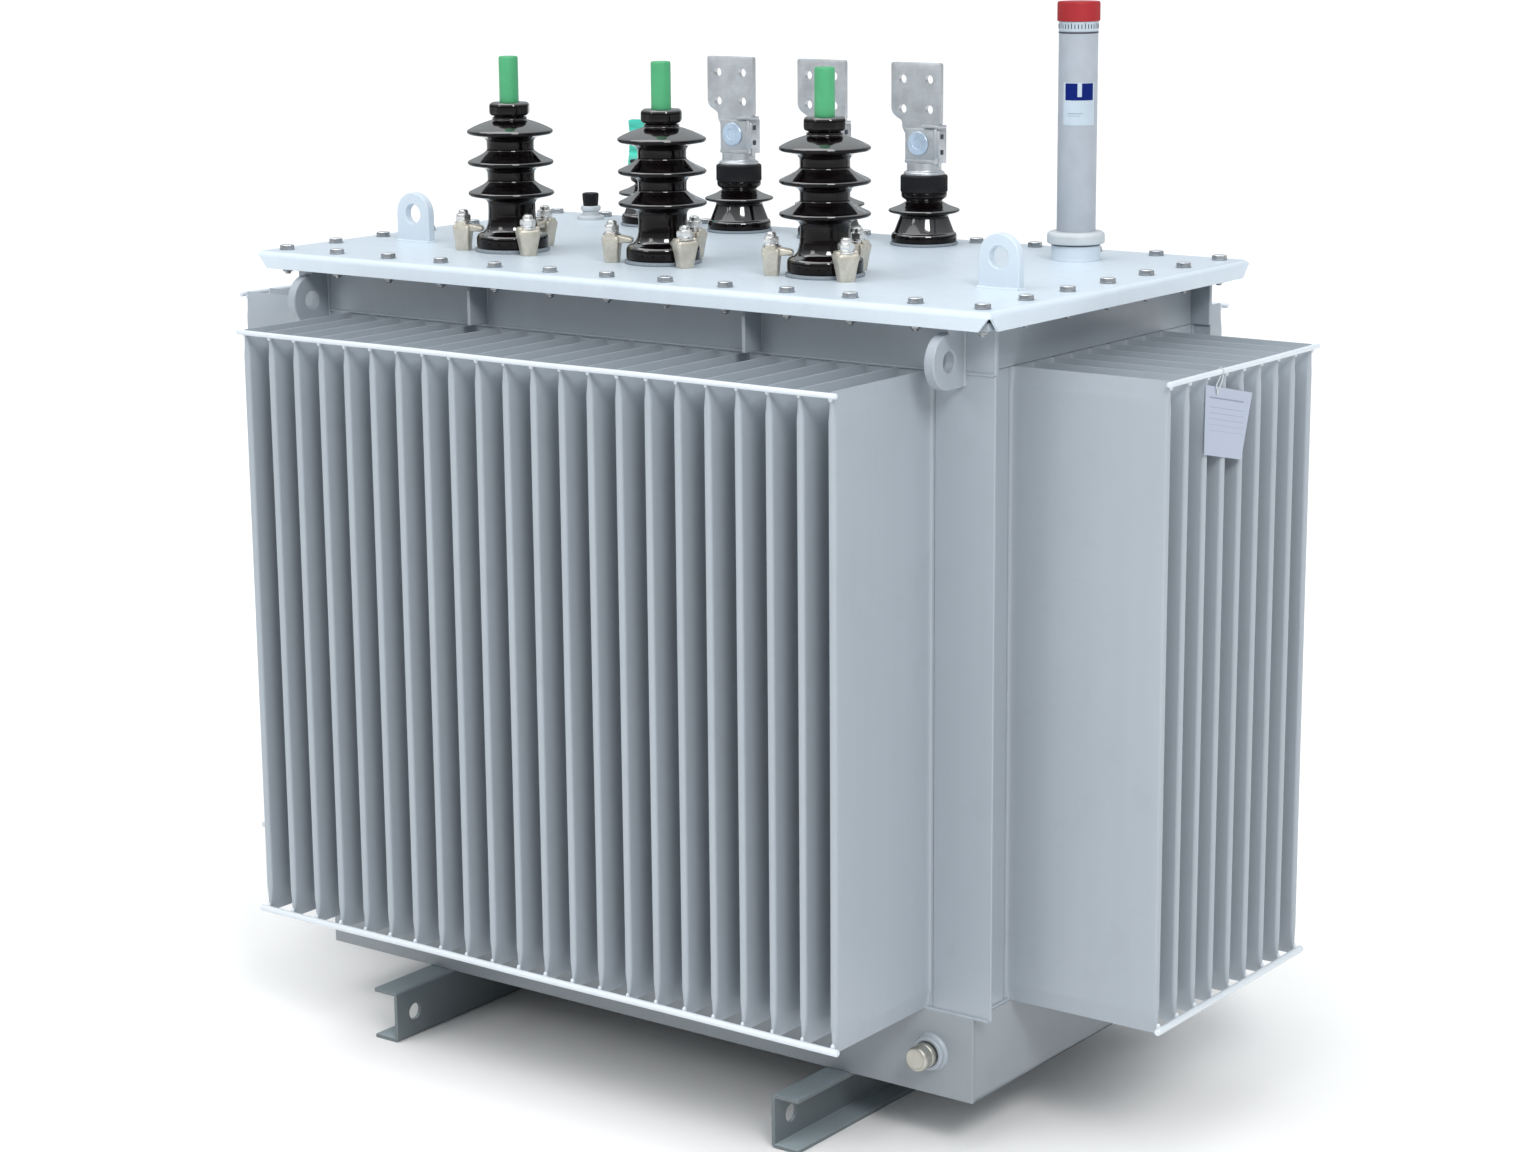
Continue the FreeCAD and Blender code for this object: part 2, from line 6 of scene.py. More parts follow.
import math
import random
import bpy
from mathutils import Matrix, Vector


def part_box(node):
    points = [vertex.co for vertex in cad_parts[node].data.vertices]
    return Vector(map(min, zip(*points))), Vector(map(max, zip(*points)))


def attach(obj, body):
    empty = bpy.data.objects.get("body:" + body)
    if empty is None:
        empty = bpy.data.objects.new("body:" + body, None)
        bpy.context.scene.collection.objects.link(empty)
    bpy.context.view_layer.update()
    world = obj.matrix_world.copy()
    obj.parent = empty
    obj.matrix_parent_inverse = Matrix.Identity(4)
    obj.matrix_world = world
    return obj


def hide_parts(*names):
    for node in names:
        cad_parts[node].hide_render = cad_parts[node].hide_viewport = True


bl_info = {
    "name": "Power transformer",
    "version": (1, 0, 0),
    "blender": (4, 5, 0),
    "location": "View3D > Sidebar > Transformer",
    "description": "Builds a power transformer's visible pieces round its frame",
    "category": "Object",
}

import bmesh
import bpy
from mathutils import Matrix, Vector

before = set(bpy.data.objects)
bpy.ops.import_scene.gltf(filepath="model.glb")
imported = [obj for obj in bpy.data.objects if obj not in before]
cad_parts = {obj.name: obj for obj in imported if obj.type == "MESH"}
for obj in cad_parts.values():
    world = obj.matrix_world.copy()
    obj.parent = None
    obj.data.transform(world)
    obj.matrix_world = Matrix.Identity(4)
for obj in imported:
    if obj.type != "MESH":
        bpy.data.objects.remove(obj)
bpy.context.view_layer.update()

MM = 0.001
X_AXIS = Vector((1.0, 0.0, 0.0))
Y_AXIS = Vector((0.0, 1.0, 0.0))
Z_AXIS = Vector((0.0, 0.0, 1.0))


# Where things are ---------------------------------------------------------------------------

def low(node):
    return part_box(node)[0]


def high(node):
    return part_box(node)[1]


def axis_of(node, height):
    """A point on a node's upright axis at a given height."""
    bottom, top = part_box(node)
    return Vector(((bottom.x + top.x) / 2, (bottom.y + top.y) / 2, height))


CORNER_REACH = 0.030
FLANGE_THICK = 0.012
DECK = high("cover").z
WALL_X = high("corner_plates").x - CORNER_REACH
WALL_Y = high("corner_plates").y
BASE_TOP = high("base_long_walls").z
FIN_TOP = high("fin_wall_front").z
FLANGE_UNDER = high("collar_long").z - FLANGE_THICK

# From a wall's end to the middle of its first fin, and half a fin's thickness: at its middle, at
# its pressed end, and how far up the pressed part its shoulder starts to round over.
FIN_EDGE = 0.012
FIN_HALF = 0.006
FIN_LIP_HALF = 0.0014
FIN_SHOULDER = 0.82

TANK_LUG_THICK = 0.016
COVER_LUG_LONG = 0.066
ROD_THICK = 0.010
HEX_POINTS = 24
BEAD_STEP = 0.0045

# The card on the right-hand fins: how far it leans, its widths at the top and over its height as
# parts of its node's, and how far it hangs below and to the side of the node.
CARD_LEAN = math.radians(-12)
CARD_WIDTH = 1.08
CARD_TAPER = 0.22
CARD_TALL = 0.86
CARD_DROP = 0.015
CARD_SHIFT = 0.006
CARD_SWING = 0.0205


def facing(origin, right, up):
    """A placing whose local x is right, local y is up and local z comes out towards the viewer."""
    right = Vector(right).normalized()
    up = Vector(up).normalized()
    out = right.cross(up)
    placing = Matrix((right, up, out)).transposed().to_4x4()
    placing.translation = Vector(origin)
    return placing


def standing(origin, angle=0.0):
    """A placing with local z upright, turned about it by an angle in degrees."""
    return Matrix.Translation(Vector(origin)) @ Matrix.Rotation(math.radians(angle), 4, "Z")


# Flat lines and rings -----------------------------------------------------------------------

def rounded(points, radius, steps=4, closed=False):
    """Ease the corners of a flat line of (a, b) pairs."""
    result = []
    last = len(points) - 1
    for index, point in enumerate(points):
        corner = Vector(point)
        if not closed and index in (0, last):
            result.append(tuple(corner))
            continue
        before = Vector(points[index - 1]) - corner
        after = Vector(points[(index + 1) % len(points)]) - corner
        reach = min(radius, before.length * 0.45, after.length * 0.45)
        start = corner + before.normalized() * reach
        end = corner + after.normalized() * reach
        for step in range(steps + 1):
            t = step / steps
            eased = start * (1 - t) ** 2 + corner * (2 * t * (1 - t)) + end * t * t
            result.append(tuple(eased))
    return result


def rectangle(x0, x1, y0, y1, radius=0.0, steps=3):
    corners = [(x0, y0), (x1, y0), (x1, y1), (x0, y1)]
    return rounded(corners, radius, steps, closed=True) if radius else corners


def circle(radius, count=48, lobes=0, depth=0.0):
    """Points round a circle; lobes cut shallow hollows in its edge."""
    points = []
    for index in range(count):
        turn = 2 * math.pi * index / count
        reach = radius - depth * 0.5 * (1 - math.cos(lobes * turn))
        points.append((reach * math.cos(turn), reach * math.sin(turn)))
    return points


def hexagon(across, limit=None):
    """Points round a hexagon, held inside a circle where limit is given."""
    points = []
    for index in range(HEX_POINTS):
        turn = 2 * math.pi * index / HEX_POINTS
        reach = across / 2 / math.cos((turn + math.pi / 6) % (math.pi / 3) - math.pi / 6)
        reach = min(reach, limit) if limit else reach
        points.append((reach * math.cos(turn), reach * math.sin(turn)))
    return points


def level(outline, height):
    return [Vector((x, y, height)) for x, y in outline]


def eased_profile(line, ease, steps=2):
    """A turned piece's line of (radius, height) pairs in metres, from one in millimetres."""
    return [(radius * MM, height * MM) for radius, height in rounded(line, ease, steps)]


def ribbed_rings(rows, count, ribs, depth):
    """Rings from (radius, height, ribbed) rows in millimetres."""
    return [
        level(circle(radius * MM, count, ribs if ribbed else 0, depth), height * MM)
        for radius, height, ribbed in rows
    ]


# Solid shapes -------------------------------------------------------------------------------

class Shape:
    """A mesh under construction, made of skins stretched over rings of points."""

    def __init__(self):
        self.mesh = bmesh.new()

    def loft(self, rings, place=None):
        """Stretch a skin over rings that all have the same number of points."""
        rows = []
        for ring in rings:
            spots = [place @ Vector(point) if place else Vector(point) for point in ring]
            rows.append([self.mesh.verts.new(spot) for spot in spots])
        count = len(rows[0])
        for one, two in zip(rows, rows[1:]):
            for index in range(count):
                after = (index + 1) % count
                self.mesh.faces.new((one[index], one[after], two[after], two[index]))
        self.mesh.faces.new(list(reversed(rows[0])))
        self.mesh.faces.new(rows[-1])

    def turned(self, profile, place, count=64, lobes=0, depth=0.0):
        """A turned solid from (radius, height) pairs."""
        rings = [level(circle(radius, count, lobes, depth), height) for radius, height in profile]
        self.loft(rings, place)

    def slab(self, outline, bottom, top, place=None, ease=0.0):
        """A flat outline given thickness, its two rims eased when asked."""
        if not ease:
            self.loft([level(outline, bottom), level(outline, top)], place)
            return
        inner = inset(outline, ease)
        part = inset(outline, ease * 0.3)
        rings = [
            level(inner, bottom),
            level(part, bottom + ease * 0.3),
            level(outline, bottom + ease),
            level(outline, top - ease),
            level(part, top - ease * 0.3),
            level(inner, top),
        ]
        self.loft(rings, place)

    def block(self, x0, x1, y0, y1, z0, z1, place=None, radius=0.002, ease=0.0012):
        self.slab(rectangle(x0, x1, y0, y1, radius), z0, z1, place, ease)

    def bolt_head(self, place, across, height, washer=0.0, thick=0.0):
        """A chamfered hexagon standing on a washer."""
        if washer:
            rim = rounded([(washer - 0.0006, 0), (washer, 0.0006), (washer, thick)], 0.0004, 2)
            self.turned(rim + [(washer - 0.0008, thick)], place, 32)
        rings = [
            level(hexagon(across * 0.97), thick),
            level(hexagon(across), thick + height * 0.08),
            level(hexagon(across), thick + height * 0.72),
            level(hexagon(across, across * 0.535), thick + height * 0.88),
            level(circle(across * 0.46, HEX_POINTS), thick + height),
            level(circle(across * 0.40, HEX_POINTS), thick + height),
        ]
        self.loft(rings, place)

    def tube(self, path, radius, count=10, jitter=None):
        """A round bar along a path; jitter varies its thickness from ring to ring."""
        rings = []
        side = None
        for index, point in enumerate(path):
            ahead = path[min(index + 1, len(path) - 1)] - path[max(index - 1, 0)]
            ahead.normalize()
            if side is None:
                side = ahead.orthogonal().normalized()
            side = (side - ahead * side.dot(ahead)).normalized()
            other = ahead.cross(side)
            size = radius * (jitter() if jitter else 1.0)
            ring = []
            for step in range(count):
                turn = 2 * math.pi * step / count
                across = side * (size * math.cos(turn))
                ring.append(point + across + other * (size * math.sin(turn)))
            rings.append(ring)
        self.loft(rings)

    def bead(self, start, end, radius, seed):
        """A run of weld, lumpy along its length."""
        dice = random.Random(seed)
        length = (Vector(end) - Vector(start)).length
        count = max(3, int(length / BEAD_STEP))
        path = [Vector(start).lerp(Vector(end), index / count) for index in range(count + 1)]
        self.tube(path, radius, 8, lambda: dice.uniform(0.84, 1.16))

    def bare_object(self, name):
        """Turn the mesh into an object with no finish, which rides on nothing."""
        data = bpy.data.meshes.new(name)
        self.mesh.to_mesh(data)
        self.mesh.free()
        piece = bpy.data.objects.new(name, data)
        bpy.context.scene.collection.objects.link(piece)
        return piece

    def object(self, name, slot, ease=0.0, steps=2, sharp=32.0, stands_for=(), finish=None):
        """A finished piece riding on the frame; finish is given where the slot's isn't used."""
        bmesh.ops.recalc_face_normals(self.mesh, faces=self.mesh.faces)
        piece = self.bare_object(name)
        smoothed(piece, sharp)
        if ease:
            soften = piece.modifiers.new("eased edges", "BEVEL")
            soften.width = ease
            soften.segments = steps
            soften.limit_method = "ANGLE"
            soften.angle_limit = math.radians(38)
            soften.harden_normals = True
        piece.data.materials.append(finish_for(finish or slot))
        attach(piece, "root")
        if stands_for:
            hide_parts(*stands_for)
        return piece


def inset(outline, distance):
    """Draw a flat outline in by a distance."""
    points = [Vector(point) for point in outline]
    area = sum(a.x * b.y - b.x * a.y for a, b in zip(points, points[1:] + points[:1]))
    turn = 1.0 if area > 0 else -1.0
    result = []
    for index, point in enumerate(points):
        before = (point - points[index - 1]).normalized()
        after = (points[(index + 1) % len(points)] - point).normalized()
        normal = Vector((-(before.y + after.y), before.x + after.x))
        if normal.length < 1e-9:
            normal = Vector((-before.y, before.x))
        normal.normalize()
        bend = max(0.5, normal.dot(Vector((-before.y, before.x))))
        result.append(tuple(point + normal * (turn * distance / bend)))
    return result


def smoothed(piece, sharp):
    """Shade a piece smooth, keeping the edges sharper than an angle in degrees."""
    for polygon in piece.data.polygons:
        polygon.use_smooth = True
    piece.data.set_sharp_from_angle(angle=math.radians(sharp))


def eased_copy(name, nodes, slot, ease, steps=2, sharp=32.0, finish=None):
    """A piece with the frame nodes' own shape, its corners eased."""
    shape = Shape()
    for node in nodes:
        shape.mesh.from_mesh(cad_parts[node].data)
    mesh = shape.mesh
    bmesh.ops.remove_doubles(mesh, verts=mesh.verts, dist=0.00002)
    bmesh.ops.dissolve_limit(
        mesh, angle_limit=math.radians(0.6), verts=mesh.verts, edges=mesh.edges
    )
    return shape.object(name, slot, ease, steps, sharp, nodes, finish)


def turned_piece(name, line, ease, place, count, slot, node=None, finish=None):
    """One piece turned about an axis, from a line of (radius, height) pairs in millimetres."""
    shape = Shape()
    shape.turned(eased_profile(line, ease), place, count)
    shape.object(name, slot, sharp=40, stands_for=[node] if node else (), finish=finish)


# Finishes -----------------------------------------------------------------------------------

class Value:
    """A number coming out of a socket, with the sums a finish needs."""

    def __init__(self, finish, socket):
        self.finish = finish
        self.socket = socket

    def sum(self, operation, first, second, clamp=False):
        settings = {"operation": operation, "use_clamp": clamp}
        node = self.finish.add("ShaderNodeMath", settings, {0: first, 1: second})
        return Value(self.finish, node.outputs[0])

    def __add__(self, other):
        return self.sum("ADD", self, other)

    def __radd__(self, other):
        return self.sum("ADD", other, self)

    def __sub__(self, other):
        return self.sum("SUBTRACT", self, other)

    def __rsub__(self, other):
        return self.sum("SUBTRACT", other, self)

    def __mul__(self, other):
        return self.sum("MULTIPLY", self, other)

    def __rmul__(self, other):
        return self.sum("MULTIPLY", other, self)

    def above(self, edge, soft):
        """0 below an edge, 1 above it, with a soft change between."""
        return self.sum("MULTIPLY", self - (edge - soft / 2), 1.0 / soft, clamp=True)


class Wiring:
    """A tree of shader nodes under construction."""

    def __init__(self, tree):
        self.tree = tree
        self.tree.nodes.clear()

    def add(self, kind, settings=None, sockets=None):
        """Make one node: its settings first, then its sockets' values or links."""
        node = self.tree.nodes.new(kind)
        for key, value in (settings or {}).items():
            setattr(node, key, value)
        for key, value in (sockets or {}).items():
            value = value.socket if isinstance(value, Value) else value
            if isinstance(value, bpy.types.NodeSocket):
                self.tree.links.new(value, node.inputs[key])
            else:
                node.inputs[key].default_value = value
        return node


class Finish(Wiring):
    """A material under construction."""

    def __init__(self, name):
        self.material = bpy.data.materials.new(name)
        self.material.use_nodes = True
        super().__init__(self.material.node_tree)
        self.where = self.add("ShaderNodeTexCoord").outputs["Object"]

    def stretched(self, scale):
        """The place on the object, scaled by a different amount along each axis."""
        settings = {"operation": "MULTIPLY"}
        node = self.add("ShaderNodeVectorMath", settings, {0: self.where, 1: scale})
        return node.outputs[0]

    def noise(self, scale, detail=2.0, rough=0.5, where=None):
        sockets = {
            "Vector": where or self.where,
            "Scale": scale,
            "Detail": detail,
            "Roughness": rough,
        }
        return Value(self, self.add("ShaderNodeTexNoise", None, sockets).outputs[0])

    def part(self, axis, vector=None):
        """One part of a vector, which is the place on the object unless another is given."""
        node = self.add("ShaderNodeSeparateXYZ", None, {0: vector or self.where})
        return Value(self, node.outputs[axis])

    def upward(self):
        """1 on a face that looks straight up, 0 on an upright one."""
        return self.part(2, self.add("ShaderNodeTexCoord").outputs["Normal"])

    def blend(self, mask, first, second):
        """Two colours, mixed by a mask."""
        settings = {"data_type": "RGBA"}
        node = self.add("ShaderNodeMix", settings, {0: mask, 6: first, 7: second})
        return node.outputs[2]

    def bump(self, height, distance, strength=1.0, over=None):
        sockets = {"Height": height, "Distance": distance, "Strength": strength}
        if over:
            sockets["Normal"] = over
        return self.add("ShaderNodeBump", None, sockets).outputs[0]

    def surface(self, **sockets):
        """Finish with one Principled shader; underscores in the names stand for spaces."""
        named = {key.replace("_", " "): value for key, value in sockets.items()}
        node = self.add("ShaderNodeBsdfPrincipled", None, named)
        output = self.add("ShaderNodeOutputMaterial")
        self.tree.links.new(node.outputs[0], output.inputs["Surface"])
        return self.material


def rgba(colour):
    return (colour[0], colour[1], colour[2], 1.0)


def tinted(colour, amount):
    """A colour made lighter or darker by a factor."""
    return tuple(min(1.0, part * amount) for part in colour[:3]) + (1.0,)


def enamel(name, colour, rough=0.36, peel=0.2, painted_top_light=1.0):
    """Sprayed enamel on sheet steel: faint clouds, upright runs, dust, and an orange-peel skin;
    with a top-light factor, faces that look up are lightened as painted light from above.
    """
    finish = Finish(name)
    clouds = finish.noise(2.3, 3.0)
    runs = finish.noise(1.0, 2.0, 0.6, finish.stretched((38.0, 38.0, 1.4)))
    specks = finish.noise(420.0, 1.0)
    dust = finish.noise(16.0, 4.0, 0.7)
    mask = clouds * 0.5 + runs * 0.3 + specks * 0.2
    body = finish.blend(mask.above(0.5, 0.5), tinted(colour, 0.94), tinted(colour, 1.05))
    dust_and_painted_top_light = finish.blend(dust.above(0.66, 0.2) * 0.22, body, tinted(colour, 0.78))
    if painted_top_light != 1.0:
        # Painted light: faces that look up are lightened by the given factor, as if lit from above;
        # the dust noise varies it a little.
        level = finish.upward().above(0.65, 0.5) * (dust * 0.3 + 0.75)
        dust_and_painted_top_light = finish.blend(level, dust_and_painted_top_light, tinted(colour, painted_top_light))
    waves = finish.bump(finish.noise(7.0, 1.0), 0.0012, 0.35)
    skin = finish.bump(finish.noise(330.0, 2.0), 0.0004, peel, waves)
    return finish.surface(
        Base_Color=dust_and_painted_top_light,
        Roughness=dust * 0.14 + (rough - 0.07),
        Normal=skin,
        IOR=1.48,
    )


def rubber(name, colour):
    finish = Finish(name)
    grain = finish.noise(260.0, 3.0, 0.7)
    body = finish.blend(grain, tinted(colour, 0.7), tinted(colour, 1.5))
    return finish.surface(
        Base_Color=body,
        Roughness=grain * 0.2 + 0.62,
        Normal=finish.bump(grain, 0.0003, 0.5),
    )


def glaze(name, colour):
    """Dark gloss glaze over turned porcelain, a little browner where it runs thin."""
    finish = Finish(name)
    pools = finish.noise(24.0, 3.0)
    rings = finish.noise(1.0, 2.0, 0.5, finish.stretched((14.0, 14.0, 260.0)))
    specks = finish.noise(700.0, 1.0)
    body = finish.blend(pools.above(0.55, 0.3), rgba(colour), tinted(colour, 2.1))
    body = finish.blend(specks.above(0.74, 0.06) * 0.5, body, tinted(colour, 4.0))
    return finish.surface(
        Base_Color=body,
        Roughness=pools * 0.06 + 0.035,
        Normal=finish.bump(rings, 0.00025, 0.22),
        IOR=1.5,
        Specular_IOR_Level=0.2,
        Coat_Weight=finish.upward().above(0.4, 0.5),
        Coat_Roughness=0.07,
        Coat_IOR=2.3,
    )


def cast(name, colour):
    """Cast metal, sand-grained and lightly dulled."""
    finish = Finish(name)
    sand = finish.noise(520.0, 4.0, 0.7)
    stain = finish.noise(46.0, 4.0, 0.7)
    body = finish.blend(stain.above(0.5, 0.5), tinted(colour, 0.74), tinted(colour, 1.2))
    body = finish.blend(sand.above(0.62, 0.16) * 0.35, body, tinted(colour, 0.45))
    return finish.surface(
        Base_Color=body,
        Metallic=0.55,
        Roughness=stain * 0.22 + 0.28,
        Normal=finish.bump(sand, 0.0007, 0.55),
    )


def metal(name, colour, rough, grain=(60.0, 60.0, 900.0), metallic=0.85, top=1.0):
    """Plated metal with a fine drawn grain and dull patches; where a top factor is given, faces
    that look up are lightened by it as a painted highlight.
    """
    finish = Finish(name)
    drawn = finish.noise(1.0, 3.0, 0.6, finish.stretched(grain))
    dull = finish.noise(38.0, 4.0, 0.65)
    body = finish.blend(dull.above(0.52, 0.4), tinted(colour, 0.84), tinted(colour, 1.12))
    body = finish.blend(drawn.above(0.6, 0.25) * 0.3, body, tinted(colour, 0.7))
    # Painted highlight: faces that look up are made lighter by the factor top.
    if top != 1.0:
        body = finish.blend(finish.upward().above(0.7, 0.3), body, tinted(colour, top))
    return finish.surface(
        Base_Color=body,
        Metallic=metallic,
        Roughness=dull * 0.24 + drawn * 0.1 + (rough - 0.15),
        Normal=finish.bump(drawn, 0.0002, 0.25),
    )


def plastic(name, colour, rough, thin=0.0, gloss=0.5):
    """Moulded plastic with a fine texture and a slight unevenness of colour."""
    finish = Finish(name)
    texture = finish.noise(380.0, 2.0)
    clouds = finish.noise(26.0, 3.0)
    body = finish.blend(clouds.above(0.5, 0.6), tinted(colour, 0.88), tinted(colour, 1.08))
    return finish.surface(
        Base_Color=body,
        Roughness=texture * 0.1 + clouds * 0.12 + (rough - 0.1),
        Normal=finish.bump(texture, 0.00025, 0.4),
        Subsurface_Weight=thin,
        Specular_IOR_Level=gloss,
    )


def wrapping(name, colour):
    """Thin stretch film wound on in overlapping turns."""
    finish = Finish(name)
    turns = finish.noise(1.0, 3.0, 0.6, finish.stretched((9.0, 9.0, 150.0)))
    creases = finish.noise(70.0, 4.0, 0.75)
    body = finish.blend(turns.above(0.5, 0.3), tinted(colour, 0.8), tinted(colour, 1.2))
    folds = finish.bump(creases, 0.0012, 0.5)
    return finish.surface(
        Base_Color=body,
        Roughness=creases * 0.3 + 0.18,
        Normal=finish.bump(turns, 0.001, 0.5, folds),
    )


def paper(name, colour):
    """A printed card: one heavy rule and a few light ones, with no lettering."""
    finish = Finish(name)
    fibre = finish.noise(900.0, 3.0)
    top = high("paper_tag").z
    side = finish.part(1) - axis_of("paper_tag", 0.0).y
    drop = (top - finish.part(2)) * (1 / math.cos(CARD_LEAN)) + side * math.tan(CARD_LEAN)
    ink = None
    for start, width, weight in ((0.0285, 0.0022, 0.75), (0.042, 0.0012, 0.4),
                                 (0.050, 0.0012, 0.35), (0.058, 0.0012, 0.35),
                                 (0.066, 0.0012, 0.25), (0.074, 0.0012, 0.25)):
        rule = drop.above(start, 0.0005) * (1.0 - drop.above(start + width, 0.0005)) * weight
        ink = rule if ink is None else ink + rule
    inside = side.above(-0.049, 0.001) * (1.0 - side.above(0.047, 0.001))
    body = finish.blend(fibre, tinted(colour, 0.95), tinted(colour, 1.03))
    printed = finish.blend(ink * inside, body, (0.16, 0.19, 0.27, 1.0))
    return finish.surface(
        Base_Color=printed,
        Roughness=fibre * 0.1 + 0.6,
        Normal=finish.bump(fibre, 0.0002, 0.3),
    )


def finish_for(slot):
    """The finish for a material slot, made once."""
    known = bpy.data.materials.get(slot + "_finish")
    return known or FINISHES[slot](slot + "_finish")


FINISHES = {
    "tank_paint": lambda name: enamel(name, tank().paint),
    # The base box's enamel is the tank paint darkened: painted shade.
    "base_paint": lambda name: enamel(name, tank().base_paint),
    # The cover enamel is lightened: painted light from above.
    "cover_paint": lambda name: enamel(name, tank().cover_paint, 0.34, 0.15),
    # The skids' enamel takes the factor 2.3: their faces that look up are lightened as painted
    # light from above.
    "skid_paint": lambda name: enamel(name, tank().skid_paint, 0.42, 0.3, 2.3),
    "rod_paint": lambda name: enamel(name, tank().rod_paint, 0.32, 0.3),
    "gasket_rubber": lambda name: rubber(name, (0.012, 0.012, 0.014)),
    "seal_rubber": lambda name: rubber(name, (0.21, 0.24, 0.27)),
    "brown_glaze": lambda name: glaze(name, bushings().glaze),
    "cast_metal": lambda name: cast(name, bushings().clamp_metal),
    "tinned_metal": lambda name: metal(name, bushings().palm_metal, 0.42),
    "green_plastic": lambda name: plastic(name, bushings().cap_green, 0.4, thin=0.05),
    "film": lambda name: wrapping(name, bushings().film),
    "black_plastic": lambda name: plastic(name, (0.008, 0.008, 0.010), 0.42, gloss=0.2),
    "white_plastic": lambda name: plastic(name, fittings().white, 0.42),
    "grey_tube": lambda name: plastic(name, fittings().tube, 0.4),
    "red_plastic": lambda name: plastic(name, fittings().cap_red, 0.5, gloss=0.25),
    "plug_metal": lambda name: metal(name, fittings().plug, 0.4, (900.0, 900.0, 60.0)),
    "paper": lambda name: paper(name, fittings().card),
    # The bolts' faces that look up, chiefly the heads' tops, are made 2.5 times lighter: a painted
    # highlight.
    "cover_bolt": lambda name: metal(name, tank().bolt_metal, 0.3, (500.0, 500.0, 200.0),
                                       top=2.5),
    "clamp_nut": lambda name: metal(name, bushings().nut_metal, 0.26, (300.0, 300.0, 900.0)),
    "blue_zinc": lambda name: metal(name, bushings().zinc, 0.3, (300.0, 300.0, 300.0), 0.4),
    "blue_label": lambda name: plastic(name, fittings().label_blue, 0.42, gloss=0.1),
    "pale_label": lambda name: plastic(name, fittings().label_pale, 0.4),
    "dark_mark": lambda name: plastic(name, (0.03, 0.035, 0.05), 0.5),
}


# Settings -----------------------------------------------------------------------------------

def colour_setting(name, description, default):
    return bpy.props.FloatVectorProperty(
        name=name, description=description, default=default, size=3, subtype="COLOR",
        min=0.0, max=1.0,
    )


def count_setting(name, description, default):
    return bpy.props.IntProperty(name=name, description=description, default=default, min=2)


def number_setting(name, description, default, **kind):
    return bpy.props.FloatProperty(name=name, description=description, default=default, **kind)


def length_setting(name, description, default):
    return number_setting(name, description, default, unit="LENGTH", subtype="DISTANCE")


def angle_setting(name, description, degrees):
    return number_setting(name, description, math.radians(degrees), subtype="ANGLE")


class TransformerTank(bpy.types.PropertyGroup):
    """Sizes and colours of the tank, its fins and its cover."""

    paint: colour_setting("Tank paint", "Enamel on the tank and fins", (0.332, 0.370, 0.410))
    # Painted shade: the base box has the tank's enamel, darkened here to stand for the shade it
    # sits in.
    base_paint: colour_setting("Base paint", "Enamel on the base box", (0.262, 0.292, 0.315))
    # Painted light: the cover's enamel is made much lighter than the tank paint to stand for the
    # strong light falling on it from above.
    cover_paint: colour_setting("Cover paint", "Enamel on the cover", (0.575, 0.65, 0.72))
    # Darker than the tank paint, and darkened further so that the skids look as dark as in shade:
    # partly their own enamel, partly painted shade.
    skid_paint: colour_setting("Skid paint", "Enamel on the skids", (0.150, 0.178, 0.190))
    rod_paint: colour_setting("Rod paint", "Enamel on the tip rods", (0.62, 0.665, 0.71))
    bolt_metal: colour_setting("Bolt metal", "Plating of the cover bolts", (0.34, 0.355, 0.37))
    long_fins: count_setting("Long side fins", "Fins on each long side", 22)
    end_fins: count_setting("End fins", "Fins on each end", 9)
    upper_rod: length_setting("Upper rod", "Half the thickness of the upper tip rods", 0.0039)
    lower_rod: length_setting("Lower rod", "Half the thickness of the lower tip rods", 0.005)
    pinch: length_setting("Pinch height", "Height over which a fin's end is pressed shut", 0.027)
    weld: length_setting("Weld width", "Width of the weld runs", 0.005)
    bolts_long: count_setting("Bolts on a long side", "Cover bolts, corners included", 13)
    bolts_end: count_setting("Bolts on an end", "Cover bolts, corners included", 7)
    bolt_across: length_setting("Bolt head", "Width of a cover bolt's head", 0.0188)
    bolt_inset: length_setting("Bolt inset", "From the cover's edge to the bolts", 0.033)


class TransformerBushings(bpy.types.PropertyGroup):
    """Colours and counts of the bushings, clamps and terminals."""

    glaze: colour_setting("Glaze", "Dark glaze on the bushings", (0.0028, 0.0018, 0.0020))
    cap_green: colour_setting("Transit cap", "Caps on the tall bushings", (0.060, 0.355, 0.155))
    clamp_metal: colour_setting("Clamp metal", "Cast dogs round the bushings", (0.60, 0.56, 0.48))
    nut_metal: colour_setting("Nut metal", "Nuts on the dogs", (0.74, 0.74, 0.73))
    palm_metal: colour_setting("Palm metal", "Tinned flat terminals", (0.56, 0.585, 0.61))
    zinc: colour_setting("Blue zinc", "Screw heads on the clamp blocks", (0.52, 0.64, 0.78))
    film: colour_setting("Film", "Wrapping on the neutral terminal", (0.05, 0.50, 0.39))
    ribs: count_setting("Ring ribs", "Ribs round each black ring", 60)


class TransformerFittings(bpy.types.PropertyGroup):
    """Colours of the gauge, filler, drain and tag."""

    tube: colour_setting("Tube", "Level gauge tube", (0.37, 0.405, 0.455))
    white: colour_setting("White plastic", "Gauge ring and filler neck", (0.52, 0.555, 0.58))
    cap_red: colour_setting("Gauge cap", "Cap on the level gauge", (0.33, 0.018, 0.023))
    label_blue: colour_setting("Label blue", "Upper field of the label", (0.002, 0.012, 0.135))
    label_pale: colour_setting("Label pale", "Lower field of the label", (0.47, 0.55, 0.62))
    plug: colour_setting("Drain plug", "Plating of the drain plug", (0.50, 0.49, 0.44))
    card: colour_setting("Card", "Paper tag", (0.385, 0.43, 0.525))


